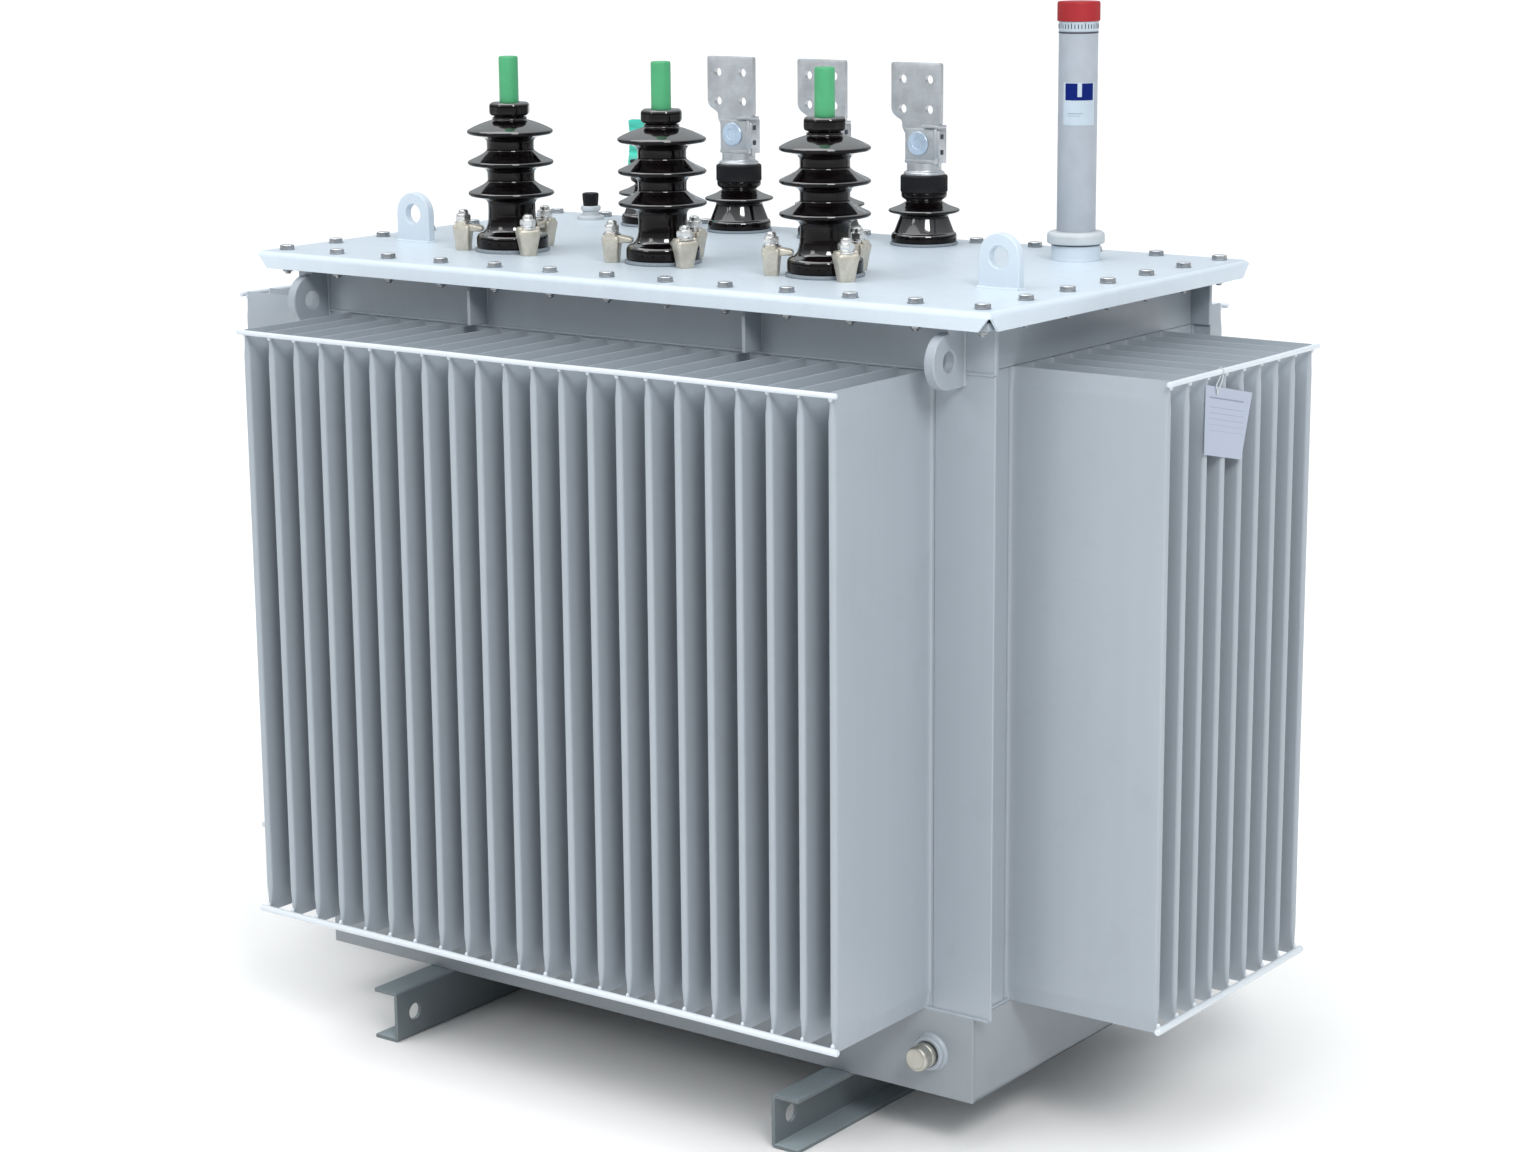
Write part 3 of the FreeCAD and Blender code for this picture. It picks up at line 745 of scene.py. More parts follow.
class TransformerStage(bpy.types.PropertyGroup):
    """Floor, light and camera."""

    floor: colour_setting("Floor", "Colour of the studio floor", (0.955, 0.94, 0.93))
    sky: number_setting("Sky", "Fill from straight above", 1.15)
    horizon: number_setting("Horizon", "Fill from the sides", 0.23)
    sun: number_setting("Sun", "Strength of the soft sun", 1.3)
    front_light: number_setting("Front light", "Power of the front softbox", 42.0, unit="POWER")
    side_light: number_setting(
        "Side light", "Power of the softbox at the right", 248.0, unit="POWER"
    )
    camera: bpy.props.FloatVectorProperty(
        name="Camera place", description="Where the camera stands", size=3,
        default=(2.82594, -3.77998, 1.73708), subtype="XYZ", unit="LENGTH",
    )
    bearing: angle_setting("Bearing", "How far round from the front the camera stands", 36.362)
    drop: angle_setting("Drop", "How far the camera looks down", 12.407)
    roll: angle_setting("Roll", "How far the camera leans", -0.449)
    lens: number_setting("Lens", "Focal length", 74.28, unit="CAMERA")


def tank():
    return bpy.context.scene.transformer_tank


def bushings():
    return bpy.context.scene.transformer_bushings


def fittings():
    return bpy.context.scene.transformer_fittings


# Skids and tank -----------------------------------------------------------------------------

class TRANSFORMER_OT_skids(bpy.types.Operator):
    """Two folded channels that the tank stands on"""

    bl_idname = "transformer.skids"
    bl_label = "Skids"

    def execute(self, context):
        for side in ("left", "right"):
            # The skids' enamel is darkened, partly as painted shade, and its faces that look up are
            # lightened as painted light.
            eased_copy("skid_channel_" + side, ["skid_" + side], "skid_paint", 0.0013)
        return {"FINISHED"}


class TRANSFORMER_OT_tank_box(bpy.types.Operator):
    """The base box, corner plates, collar and flange, with their weld runs"""

    bl_idname = "transformer.tank_box"
    bl_label = "Tank box"

    def execute(self, context):
        base = ["base_floor", "base_long_walls", "base_end_walls"]
        # The base box gets the tank's enamel darkened: painted shade.
        eased_copy("base_box", base, "tank_paint", 0.0016, finish="base_paint")
        eased_copy("corner_sheets", ["corner_plates"], "tank_paint", 0.0014)
        eased_copy("flange_angles", ["collar_long", "collar_ends"], "tank_paint", 0.0016)
        eased_copy("flange_webs", ["flange_gussets"], "tank_paint", 0.0014)
        self.weld_runs()
        return {"FINISHED"}

    def weld_runs(self):
        radius = tank().weld / 2
        runs = []
        for sy in (-1, 1):
            y = sy * (WALL_Y + 0.0008)
            runs.append(((-WALL_X - 0.026, y, BASE_TOP), (WALL_X + 0.026, y, BASE_TOP)))
            runs.append(((-WALL_X, y, FLANGE_UNDER), (WALL_X, y, FLANGE_UNDER)))
            runs.append(((-WALL_X - 0.028, y - sy * 0.001, FIN_TOP + 0.001),
                         (WALL_X + 0.028, y - sy * 0.001, FIN_TOP + 0.001)))
        for sx in (-1, 1):
            x = sx * (WALL_X + 0.0008)
            inner = WALL_Y - 0.004
            runs.append(((x, -inner, BASE_TOP), (x, inner, BASE_TOP)))
            runs.append(((x, -inner, FLANGE_UNDER), (x, inner, FLANGE_UNDER)))
            for sy in (-1, 1):
                y = sy * inner
                runs.append(((x, y, BASE_TOP + 0.002), (x, y, FLANGE_UNDER - 0.001)))
        shape = Shape()
        for seed, (start, end) in enumerate(runs):
            shape.bead(start, end, radius, seed)
        for side in (-1, 1):
            web = side * (high("flange_gussets").x - 0.003)
            for sy in (-1, 1):
                for edge in (-0.003, 0.003):
                    start = (web + edge, sy * WALL_Y, FIN_TOP + 0.010)
                    end = (web + edge, sy * WALL_Y, FLANGE_UNDER)
                    shape.bead(start, end, radius * 0.8, int(1000 * (web + sy)) + 7)
        shape.object("weld_runs", "tank_paint", sharp=60)


# Cooling fins -------------------------------------------------------------------------------

class Bank:
    """One wall of cooling fins, drawn along its own x, outwards along y and up along z."""

    def __init__(self, node, count, along, outward, plane):
        bottom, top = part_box(node)
        self.node = node
        self.count = count
        self.height = top.z - bottom.z
        self.half = (top - bottom).dot(Vector(map(abs, along))) / 2
        self.depth = max(abs(bottom.dot(outward)), abs(top.dot(outward))) - plane
        self.pitch = (2 * self.half - 2 * FIN_EDGE) / (count - 1)
        self.place = Matrix((along, outward, Z_AXIS)).transposed().to_4x4()
        self.place.translation = outward * plane + Z_AXIS * bottom.z

    def fin_x(self, index):
        return -self.half + FIN_EDGE + index * self.pitch


def pressed(height, reach):
    """Half a fin's thickness at a height above its pressed end: a slope, then a round shoulder."""
    t = max(0.0, min(1.0, height / reach))
    if t >= FIN_SHOULDER:
        left = 1.0 - t
        t = 1.0 - left ** 2 / (2 * (1.0 - FIN_SHOULDER)) - left / 2
    return FIN_LIP_HALF + (FIN_HALF - FIN_LIP_HALF) * t


def fin_heights(total, reach):
    """Levels at which a fin's outline is drawn, closer together at its pressed ends."""
    steps = (0.0, 0.16, 0.34, 0.52, 0.68, 0.80, 0.88, 0.94, 1.0, 1.12, 1.28, 1.5, 1.9)
    near = [reach * step for step in steps]
    middle = [total * step / 10 for step in range(1, 10)]
    return near + middle + [total - height for height in reversed(near)]


def fin_outline(bank, height, x, reach, sway):
    """A fin's plan at one height: flared at the root, parallel, then a rounded nose."""
    from_end = min(height, bank.height - height)

    def half_at(y):
        nearness = max(0.0, 1.0 - (bank.depth - y) / 0.045)
        return pressed(from_end, reach * (1.0 + 0.45 * nearness))

    bend = sway * math.sin(math.pi * height / bank.height)
    side = [(half_at(0.0) + 0.0045, -0.001), (half_at(0.0) + 0.0014, 0.0012),
            (half_at(0.01) + 0.0002, 0.0045)]
    for y in (0.012, 0.06, 0.12, bank.depth - 0.045, bank.depth - 0.028, bank.depth - 0.014):
        side.append((half_at(y), y))
    tip = half_at(bank.depth)
    corner = min(tip, 0.0046)
    for turn in (0, 22, 45, 67, 90):
        angle = math.radians(turn)
        side.append((tip - corner + corner * math.cos(angle),
                     bank.depth - corner + corner * math.sin(angle)))
    sides = []
    for sign in (1, -1):
        sides.append([
            (x + sign * half + bend * min(1.0, y / 0.1) * (1 - 0.6 * y / bank.depth), y)
            for half, y in side
        ])
    right, left = sides
    return right + list(reversed(left))


def bank_piece(bank, name):
    """The folded wall: a sheet and its row of fins, none of them perfectly flat."""
    dice = random.Random(len(bank.node) * 31 + bank.count)
    reach = tank().pinch
    shape = Shape()
    sheet = rectangle(-bank.half, bank.half, -0.004, 0.0)
    shape.loft([level(sheet, 0.0), level(sheet, bank.height)], bank.place)
    for index in range(bank.count):
        x = bank.fin_x(index)
        sway = dice.uniform(-0.0012, 0.0012)
        rings = [
            level(fin_outline(bank, height, x, reach, sway), height)
            for height in fin_heights(bank.height, reach)
        ]
        shape.loft(rings, bank.place)
    return shape.object(name, "tank_paint", sharp=40, stands_for=[bank.node])


def banks():
    long_fins = tank().long_fins
    end_fins = tank().end_fins
    return [
        Bank("fin_wall_front", long_fins, X_AXIS, -Y_AXIS, WALL_Y),
        Bank("fin_wall_back", long_fins, -X_AXIS, Y_AXIS, WALL_Y),
        Bank("fin_wall_left", end_fins, Y_AXIS, -X_AXIS, WALL_X),
        Bank("fin_wall_right", end_fins, -Y_AXIS, X_AXIS, WALL_X),
    ]


class TRANSFORMER_OT_cooling_fins(bpy.types.Operator):
    """Four walls of folded cooling fins"""

    bl_idname = "transformer.cooling_fins"
    bl_label = "Cooling fins"

    def execute(self, context):
        for bank in banks():
            bank_piece(bank, bank.node.replace("fin_wall", "folded_fins"))
        return {"FINISHED"}


class TRANSFORMER_OT_tip_rods(bpy.types.Operator):
    """Round rods welded along the fin tips, with a dab of weld at every fin"""

    bl_idname = "transformer.tip_rods"
    bl_label = "Tip rods"

    def execute(self, context):
        rods = Shape()
        dabs = Shape()
        for bank in banks():
            self.rods(bank, rods, dabs)
        rods.object("fin_tip_rods", "rod_paint", stands_for=["tip_rods_long", "tip_rods_end"])
        dabs.object("rod_weld_dabs", "rod_paint", sharp=60)
        return {"FINISHED"}

    def rods(self, bank, rods, dabs):
        dice = random.Random(bank.count * 7 + len(bank.node))
        lower, upper = tank().lower_rod, tank().upper_rod
        for radius, height in ((lower, lower), (upper, bank.height - upper)):
            count = 46
            centre_y = bank.depth + radius
            rings = []
            ends = [(0.0, 0.72), (0.0012, 0.94), (0.003, 1.0)]
            length = 2 * bank.half
            stations = ends + [(length * i / count, 1.0) for i in range(1, count)]
            stations += [(length - s, f) for s, f in reversed(ends)]
            for along, factor in stations:
                size = radius * factor * dice.uniform(0.985, 1.0)
                sag = 0.0004 * math.sin(along * 14 + bank.count)
                ring = []
                for step in range(16):
                    turn = 2 * math.pi * step / 16
                    ring.append(Vector((along - bank.half, centre_y + size * math.cos(turn),
                                        height + sag + size * math.sin(turn))))
                rings.append(ring)
            rods.loft(rings, bank.place)
            for index in range(bank.count):
                self.dab(bank, dabs, dice, bank.fin_x(index), height, radius)

    def dab(self, bank, dabs, dice, x, height, radius):
        inward = 1 if height < bank.height / 2 else -1
        size = dice.uniform(0.0026, 0.0034)
        profile = [(size * 0.35, -size * 1.6), (size * 0.85, -size), (size, 0),
                   (size * 0.8, size), (size * 0.3, size * 1.5)]
        spot = bank.place @ Vector((x, bank.depth + 0.0006, height + inward * radius * 0.92))
        dabs.turned(profile, standing(spot, dice.uniform(0, 60)), 10)


# Lugs and cover -----------------------------------------------------------------------------

class TRANSFORMER_OT_tank_lugs(bpy.types.Operator):
    """Four thick lifting ears on the collar, with fillet welds"""

    bl_idname = "transformer.tank_lugs"
    bl_label = "Tank lugs"

    def execute(self, context):
        eased_copy("tank_lifting_lugs", ["tank_lugs"], "tank_paint", 0.0022, 3)
        far = high("tank_lugs").x
        bottom = low("tank_lugs").z
        welds = Shape()
        seed = 50
        for sx in (-1, 1):
            for sy in (-1, 1):
                for x in (far - TANK_LUG_THICK, far):
                    start = (sx * x, sy * (WALL_Y + 0.0005), bottom + 0.002)
                    end = (sx * x, sy * (WALL_Y + 0.0005), FLANGE_UNDER)
                    welds.bead(start, end, tank().weld * 0.55, seed)
                    seed += 1
        welds.object("tank_lug_welds", "tank_paint", sharp=60)
        return {"FINISHED"}


class TRANSFORMER_OT_cover(bpy.types.Operator):
    """The folded cover, its gasket and its two lifting ears"""

    bl_idname = "transformer.cover"
    bl_label = "Cover"

    def execute(self, context):
        eased_copy("cover_gasket_strips", ["cover_gasket"], "gasket_rubber", 0.0012)
        # The cover and its lugs get the lightened cover enamel: painted light from above.
        eased_copy("folded_cover", ["cover"], "cover_paint", 0.0011, 2, 25)
        eased_copy("cover_lifting_lugs", ["cover_lugs"], "cover_paint", 0.002, 3)
        self.lug_welds()
        return {"FINISHED"}

    def lug_welds(self):
        bottom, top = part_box("cover_lugs")
        welds = Shape()
        for side in (-1, 1):
            x0 = side * (top.x - COVER_LUG_LONG)
            x1 = side * top.x
            for y in (bottom.y, top.y):
                welds.bead((x0, y, DECK), (x1, y, DECK), tank().weld * 0.6, int(90 + side * 3))
            for x in (x0, x1):
                welds.bead((x, bottom.y, DECK), (x, top.y, DECK), tank().weld * 0.6, 97)
        # The lug welds get the lightened cover enamel: painted light from above.
        welds.object("cover_lug_welds", "cover_paint", sharp=60)


def bolt_spots():
    """Where the cover bolts stand, all the way round."""
    settings = tank()
    x1 = high("cover").x - settings.bolt_inset
    y1 = high("cover").y - settings.bolt_inset
    spots = []
    for index in range(settings.bolts_long):
        x = -x1 + 2 * x1 * index / (settings.bolts_long - 1)
        spots += [(x, -y1), (x, y1)]
    for index in range(1, settings.bolts_end - 1):
        y = -y1 + 2 * y1 * index / (settings.bolts_end - 1)
        spots += [(-x1, y), (x1, y)]
    return spots


class TRANSFORMER_OT_cover_bolts(bpy.types.Operator):
    """Hexagon bolts round the cover, with washers above and nuts below the flange"""

    bl_idname = "transformer.cover_bolts"
    bl_label = "Cover bolts"

    def execute(self, context):
        dice = random.Random(4)
        across = tank().bolt_across
        heads = Shape()
        nuts = Shape()
        for x, y in bolt_spots():
            turn = dice.uniform(0, 60)
            heads.bolt_head(standing((x, y, DECK), turn), across, 0.0062, 0.0114, 0.0014)
            below = facing((x, y, FLANGE_UNDER), (math.cos(turn), math.sin(turn), 0),
                           (math.sin(turn), -math.cos(turn), 0))
            nuts.bolt_head(below, across * 0.78, 0.0062, 0.0086, 0.0012)
            shank = [(0.0044, 0.0060), (0.0044, 0.0096), (0.0036, 0.0108)]
            nuts.turned(shank, below, 16)
        # The heads' tops are lightened by their finish: a painted highlight.
        heads.object("cover_bolt_heads", "tinned_metal", sharp=25, finish="cover_bolt")
        nuts.object("flange_nuts", "tinned_metal", sharp=25, finish="cover_bolt")
        return {"FINISHED"}


# High-voltage bushings ----------------------------------------------------------------------

def hv_spots():
    return [axis_of("hv_bushing_%d" % number, DECK) for number in (1, 2, 3)]


HV_OUTLINE = [
    (50.5, 5), (53.6, 6.2), (54.4, 10), (54.2, 21), (52.8, 24.6), (49, 27.2), (44, 28.6),
    (40.4, 32), (38, 38), (36.2, 47), (35.6, 60), (35.8, 73), (39, 77.5), (47, 80.4),
    (58, 82.6), (62.4, 83.6), (64.6, 85.6), (64.9, 88), (63.2, 90), (60, 91.4), (50, 96),
    (41, 101), (36.8, 104.4), (35.8, 105.6), (35.4, 108), (35.6, 119), (39, 123.5),
    (47, 126.4), (58, 128.6), (62.4, 129.6), (64.6, 131.6), (64.9, 134), (63.2, 136),
    (60, 137.4), (50, 142), (41, 147), (36.8, 150.4), (35.8, 151.6), (35.4, 154), (35.6, 165),
    (39, 169.5), (47, 172.4), (58, 174.6), (62.4, 175.6), (64.6, 177.6), (64.9, 180),
    (63.2, 182.2), (56, 186), (46, 190.4), (36, 194), (28, 196.4), (25.6, 197.6), (26, 200.5),
]


def hv_cap_outline():
    """The nut-like cap above the last shed, down to its short neck."""
    line = [(20.5, 196), (25, 198), (26, 200), (24.2, 202), (23, 203), (27.4, 203.4),
            (30.2, 205.4), (30.9, 209), (30.9, 217), (30, 220.6), (27, 222.8), (15, 223.2)]
    return eased_profile(line, 1.0)


class TRANSFORMER_OT_hv_bushings(bpy.types.Operator):
    """Three tall glazed bushings with their seals, caps and transit covers"""

    bl_idname = "transformer.hv_bushings"
    bl_label = "Tall bushings"

    def execute(self, context):
        outline = eased_profile(HV_OUTLINE, 1.6)
        for number, spot in enumerate(hv_spots(), 1):
            shape = Shape()
            shape.turned(outline, standing(spot), 96)
            shape.turned(hv_cap_outline(), standing(spot, 11), 96, 8, 0.0016)
            name = "hv_bushing_%d" % number
            shape.object("tall_bushing_%d" % number, "brown_glaze", sharp=50, stands_for=[name])
        self.seals()
        self.transit_caps()
        return {"FINISHED"}

    def seals(self):
        shape = Shape()
        edge = [(0.0545, 0), (0.0562, 0.0008), (0.0566, 0.0025), (0.0562, 0.0044), (0.0545, 0.0052)]
        for spot in hv_spots():
            shape.turned(edge, standing(spot), 96)
        shape.object("tall_bushing_seals", "seal_rubber", stands_for=["hv_gaskets"])

    def transit_caps(self):
        shape = Shape()
        line = [(14.2, 222), (14.5, 224), (14.5, 287), (14.2, 289.6), (13, 291), (10.5, 291),
                (9.6, 290.2)]
        profile = eased_profile(line, 0.9, 3)
        for index, spot in enumerate(hv_spots()):
            shape.turned(profile, standing(spot, index * 17), 40)
        shape.object("transit_caps", "green_plastic", stands_for=["hv_terminal_caps"])


def dog(shape, nuts, place, dice):
    """A cast clamping dog: a tapered foot, two ears, a toe on the bushing, its nut and stud."""
    middle = 0.076
    foot = [(0.0, 10.4, 9.8), (2.0, 11.2, 10.6), (12.0, 12.6, 11.4), (24.0, 14.8, 12.4),
            (31.0, 16.4, 13.0), (35.0, 16.8, 13.2), (38.0, 16.0, 12.6), (39.4, 14.0, 11.2)]
    rings = []
    for height, across, deep in foot:
        outline = rectangle(middle - deep * MM, middle + deep * MM, -across * MM, across * MM,
                            0.0054, 4)
        rings.append(level(outline, height * MM))
    shape.loft(rings, place)
    toe = [(0.0455, 29.2, 35.0, 9.0), (0.0480, 28.4, 37.0, 9.6), (0.0560, 28.6, 38.6, 9.8),
           (0.0640, 28.0, 40.0, 11.6), (0.0760, 28.0, 40.6, 12.4), (0.0860, 30.0, 38.0, 11.0)]
    rings = []
    for x, under, over, across in toe:
        outline = rectangle(-across * MM, across * MM, under * MM, over * MM, 0.003, 3)
        rings.append([Vector((x, y, z)) for y, z in outline])
    shape.loft(rings, place)
    for side in (-1, 1):
        ear_steps = [(0.0105, 0.0070), (0.0125, 0.0086), (0.0150, 0.0082), (0.0166, 0.0060)]
        rings = []
        for y, reach in ear_steps:
            outline = rectangle(middle - reach, middle + reach, 0.032, 0.0435 - 0.2 * (y - 0.0105),
                                0.0025, 3)
            rings.append([Vector((x, side * y, z)) for x, z in outline])
        shape.loft(rings, place)
    nut = place @ Matrix.Translation((middle, 0, 0.0396)) @ Matrix.Rotation(
        dice.uniform(-0.05, 0.05), 4, "Y")
    washer = [(0.0126, 0), (0.0134, 0.0006), (0.0134, 0.0020), (0.0126, 0.0026)]
    nuts.turned(washer, nut, 32)
    split = [(0.0104, 0.0026), (0.0111, 0.0031), (0.0111, 0.0050), (0.0104, 0.0056)]
    nuts.turned(split, nut, 32)
    lift = nut @ Matrix.Translation((0, 0, 0.0056)) @ Matrix.Rotation(dice.uniform(0, 1), 4, "Z")
    nuts.bolt_head(lift, 0.0205, 0.0095)
    dome = [(0.0076, 0.0090), (0.0078, 0.0118), (0.0072, 0.0142), (0.0054, 0.0160),
            (0.0026, 0.0168)]
    nuts.turned(dome, lift, 24)


class TRANSFORMER_OT_clamp_dogs(bpy.types.Operator):
    """Three cast dogs round each tall bushing, each with its nut"""

    bl_idname = "transformer.clamp_dogs"
    bl_label = "Clamp dogs"

    def execute(self, context):
        dice = random.Random(12)
        dogs = Shape()
        nuts = Shape()
        for spot in hv_spots():
            for angle in (90, 210, 330):
                place = standing(spot, angle + dice.uniform(-3, 3))
                dog(dogs, nuts, place, dice)
        dogs.object("clamp_dogs", "cast_metal", sharp=40, stands_for=["hv_clamps"])
        nuts.object("clamp_dog_nuts", "cast_metal", sharp=28, finish="clamp_nut")
        return {"FINISHED"}


# Low-voltage bushings -----------------------------------------------------------------------

LV_OUTLINE = [
    (47.5, 4), (49.8, 5), (50.2, 8), (50, 15), (48.6, 17.6), (46, 19), (37.6, 41), (37, 44),
    (40, 46.4), (50, 48.4), (53.6, 49.8), (55, 52), (53.4, 54), (49, 55.4), (38, 59.6),
    (29, 64.6), (27.2, 66.4), (30, 68.8), (33.6, 71), (35, 74), (35.2, 79.2), (20, 79.4),
]


def lv_spots():
    return [axis_of("lv_bushing_%d" % number, DECK) for number in (1, 2, 3, 4)]


class TRANSFORMER_OT_lv_bushings(bpy.types.Operator):
    """Four short glazed bushings with their seals and ribbed rings"""

    bl_idname = "transformer.lv_bushings"
    bl_label = "Short bushings"

    def execute(self, context):
        outline = eased_profile(LV_OUTLINE, 1.5)
        for number, spot in enumerate(lv_spots(), 1):
            shape = Shape()
            shape.turned(outline, standing(spot), 96)
            name = "lv_bushing_%d" % number
            shape.object("short_bushing_%d" % number, "brown_glaze", sharp=50, stands_for=[name])
        seals = Shape()
        rings = Shape()
        edge = [(0.0500, 0), (0.0514, 0.0008), (0.0517, 0.002), (0.0514, 0.0036), (0.05, 0.0042)]
        for spot in lv_spots():
            seals.turned(edge, standing(spot), 96)
            self.ribbed_ring(rings, spot)
        seals.object("short_bushing_seals", "seal_rubber", stands_for=["lv_gaskets"])
        rings.object("ribbed_rings", "black_plastic", sharp=50, stands_for=["lv_rings"])
        return {"FINISHED"}

    def ribbed_ring(self, shape, spot):
        ribs = bushings().ribs
        rows = [(33.0, 79.0, False), (35.0, 79.8, False), (35.8, 81.0, False), (36.0, 81.8, True),
                (36.0, 102.8, True), (35.8, 103.6, False), (35.0, 105.2, False),
                (32.6, 106.2, False), (20.0, 106.4, False)]
        shape.loft(ribbed_rings(rows, ribs * 4, ribs, 0.0011), standing(spot))


PALM = [(-58, 274), (-58, 202), (-54, 195), (-46, 190), (-38, 186), (-38, 176), (-32, 166),
        (-26, 160), (-26, 118), (29, 118), (29, 179), (32, 184), (32, 274)]


def cut_holes(piece, cutter):
    """Take a cutter's shape away from a piece, then remove the cutter."""
    cut = piece.modifiers.new("holes", "BOOLEAN")
    cut.operation = "DIFFERENCE"
    cut.solver = "EXACT"
    cut.object = cutter
    graph = bpy.context.evaluated_depsgraph_get()
    data = bpy.data.meshes.new_from_object(piece.evaluated_get(graph))
    piece.modifiers.clear()
    piece.data = data
    bpy.data.objects.remove(cutter, do_unlink=True)


class TRANSFORMER_OT_lv_terminals(bpy.types.Operator):
    """Three flat palms, each held in a clamp block on its stem"""

    bl_idname = "transformer.lv_terminals"
    bl_label = "Flat terminals"

    def execute(self, context):
        for number in (2, 3, 4):
            self.terminal(number)
        screws = Shape()
        discs = Shape()
        for spot in lv_spots()[1:]:
            for height in (0.1415, 0.1650):
                slot = facing(spot + Vector((0.0385, -0.0100, height)), (0, 1, 0), (0, 0, 1))
                screws.block(-0.0032, 0.0032, -0.0036, 0.0036, 0, 0.0012, slot, 0.001, 0.0004)
            front = facing(spot + Vector((-0.0020, -0.0136, 0.1535)), (1, 0, 0), (0, 0, 1))
            discs.turned([(0.0178, 0), (0.0182, 0.0006), (0.0182, 0.0018), (0.0172, 0.0030),
                          (0.0090, 0.0034), (0.0084, 0.0026), (0.002, 0.0026)], front, 48)
        screws.object("jaw_slots", "black_plastic", sharp=28, finish="dark_mark")
        discs.object("block_discs", "tinned_metal", finish="blue_zinc")
        return {"FINISHED"}

    def terminal(self, number):
        spot = lv_spots()[number - 1]
        place = standing(spot)
        metal_shape = Shape()
        stem = [(30.4, 105.5), (31.2, 106.5), (31.2, 109.5), (29.6, 111), (27.2, 111.6),
                (26.4, 113), (26.4, 124)]
        metal_shape.turned(eased_profile(stem, 0.8), place, 72)
        metal_shape.block(-0.0268, 0.028, -0.0132, 0.020, 0.123, 0.176, place, 0.002, 0.0012)
        metal_shape.block(0.028, 0.0335, -0.018, 0.004, 0.132, 0.177, place, 0.0014, 0.0008)
        metal_shape.block(0.0335, 0.0384, -0.018, -0.0015, 0.1335, 0.1735, place, 0.001, 0.0008)
        metal_shape.block(0.006, 0.0384, -0.020, 0.004, 0.1775, 0.1818, place, 0.0014, 0.0008)
        metal_shape.block(-0.026, 0.027, -0.0150, -0.0125, 0.1240, 0.1290, place, 0.001, 0.0008)
        upright = facing(spot + Vector((0, 0.004, 0)), (1, 0, 0), (0, 0, 1))
        outline = rounded([(x * MM, z * MM) for x, z in PALM], 0.0040, 3, closed=True)
        palm = Shape()
        palm.slab(outline, 0.0, 0.008, upright, 0.0007)
        palm_piece = palm.object("palm_%d" % number, "tinned_metal", sharp=28)
        cut_holes(palm_piece, self.hole_cutter(spot))
        smoothed(palm_piece, 28)
        name = "lv_terminal_%d" % number
        metal_shape.object("clamp_block_%d" % number, "tinned_metal", sharp=28,
                           stands_for=[name])

    def hole_cutter(self, spot):
        holes = Shape()
        for dx in (-24, 24):
            for dz in (-22.5, 22.5):
                centre = spot + Vector(((-13 + dx) * MM, 0, (226.5 + dz) * MM))
                holes.turned([(0.007, -0.02), (0.007, 0.02)],
                             facing(centre, (1, 0, 0), (0, 0, 1)), 40)
        bmesh.ops.recalc_face_normals(holes.mesh, faces=holes.mesh.faces)
        return holes.bare_object("hole_cutter")


class TRANSFORMER_OT_neutral_terminal(bpy.types.Operator):
    """The neutral's shorter plate, wound in thin film"""

    bl_idname = "transformer.neutral_terminal"
    bl_label = "Neutral terminal"

    def execute(self, context):
        dice = random.Random(21)
        spot = lv_spots()[0]
        shape = Shape()
        rings = []
        steps = 30
        for index in range(steps + 1):
            t = index / steps
            height = 0.112 + 0.056 * t
            squeeze = 1.0 - 0.05 * math.sin(math.pi * t) + dice.uniform(-0.012, 0.012)
            deep = 0.0066 + dice.uniform(-0.0004, 0.0004)
            end = min(1.0, 0.9 + 8 * min(t, 1 - t))
            outline = rectangle(-0.0445 * squeeze * end, 0.0445 * squeeze * end, -deep * end,
                                deep * end, 0.005, 4)
            lean = dice.uniform(-0.0006, 0.0006)
            rings.append([Vector((x + lean, y, height)) for x, y in outline])
        shape.loft(rings, standing(spot))
        skirt = []
        for index in range(13):
            t = index / 12
            height = 0.0850 + 0.031 * t
            blend = max(0.0, (t - 0.45) / 0.55) ** 1.4
            ring = []
            for x, y in rectangle(-0.043, 0.043, -0.0068, 0.0068, 0.005, 10):
                turn = math.atan2(y / 0.0068, x / 0.043)
                around = 0.0376 + dice.uniform(-0.0005, 0.0005) + 0.0006 * math.sin(turn * 7)
                round_x, round_y = around * math.cos(turn), around * math.sin(turn)
                ring.append(Vector((round_x + (x - round_x) * blend,
                                    round_y + (y - round_y) * blend, height)))
            skirt.append(ring)
        shape.loft(skirt, standing(spot))
        shape.object("wrapped_neutral", "film", sharp=50, stands_for=["neutral_terminal"])
        return {"FINISHED"}


# Fittings -----------------------------------------------------------------------------------

class TRANSFORMER_OT_filler(bpy.types.Operator):
    """The filler neck and its black cap"""

    bl_idname = "transformer.filler"
    bl_label = "Filler"

    def execute(self, context):
        spot = axis_of("filler_neck", DECK)
        line = [(21.6, 0), (22, 1), (22, 5), (21, 6.2), (14, 6.4), (13.6, 8), (13.6, 14),
                (15.8, 14.6), (16.6, 16), (16.6, 21), (15.6, 22.2), (11, 22.4)]
        turned_piece("filler_flange", line, 0.8, standing(spot), 64, "white_plastic",
                     "filler_neck")
        cap = Shape()
        rows = [(11.2, 22.2, False), (12.0, 23, False), (12.4, 24.5, True), (13.6, 39, True),
                (13.6, 41, False), (12.8, 42.8, False), (11.0, 43.5, False), (4.0, 43.5, False)]
        cap.loft(ribbed_rings(rows, 120, 30, 0.0006), standing(spot))
        cap.object("filler_lid", "black_plastic", sharp=40, stands_for=["filler_cap"])
        return {"FINISHED"}


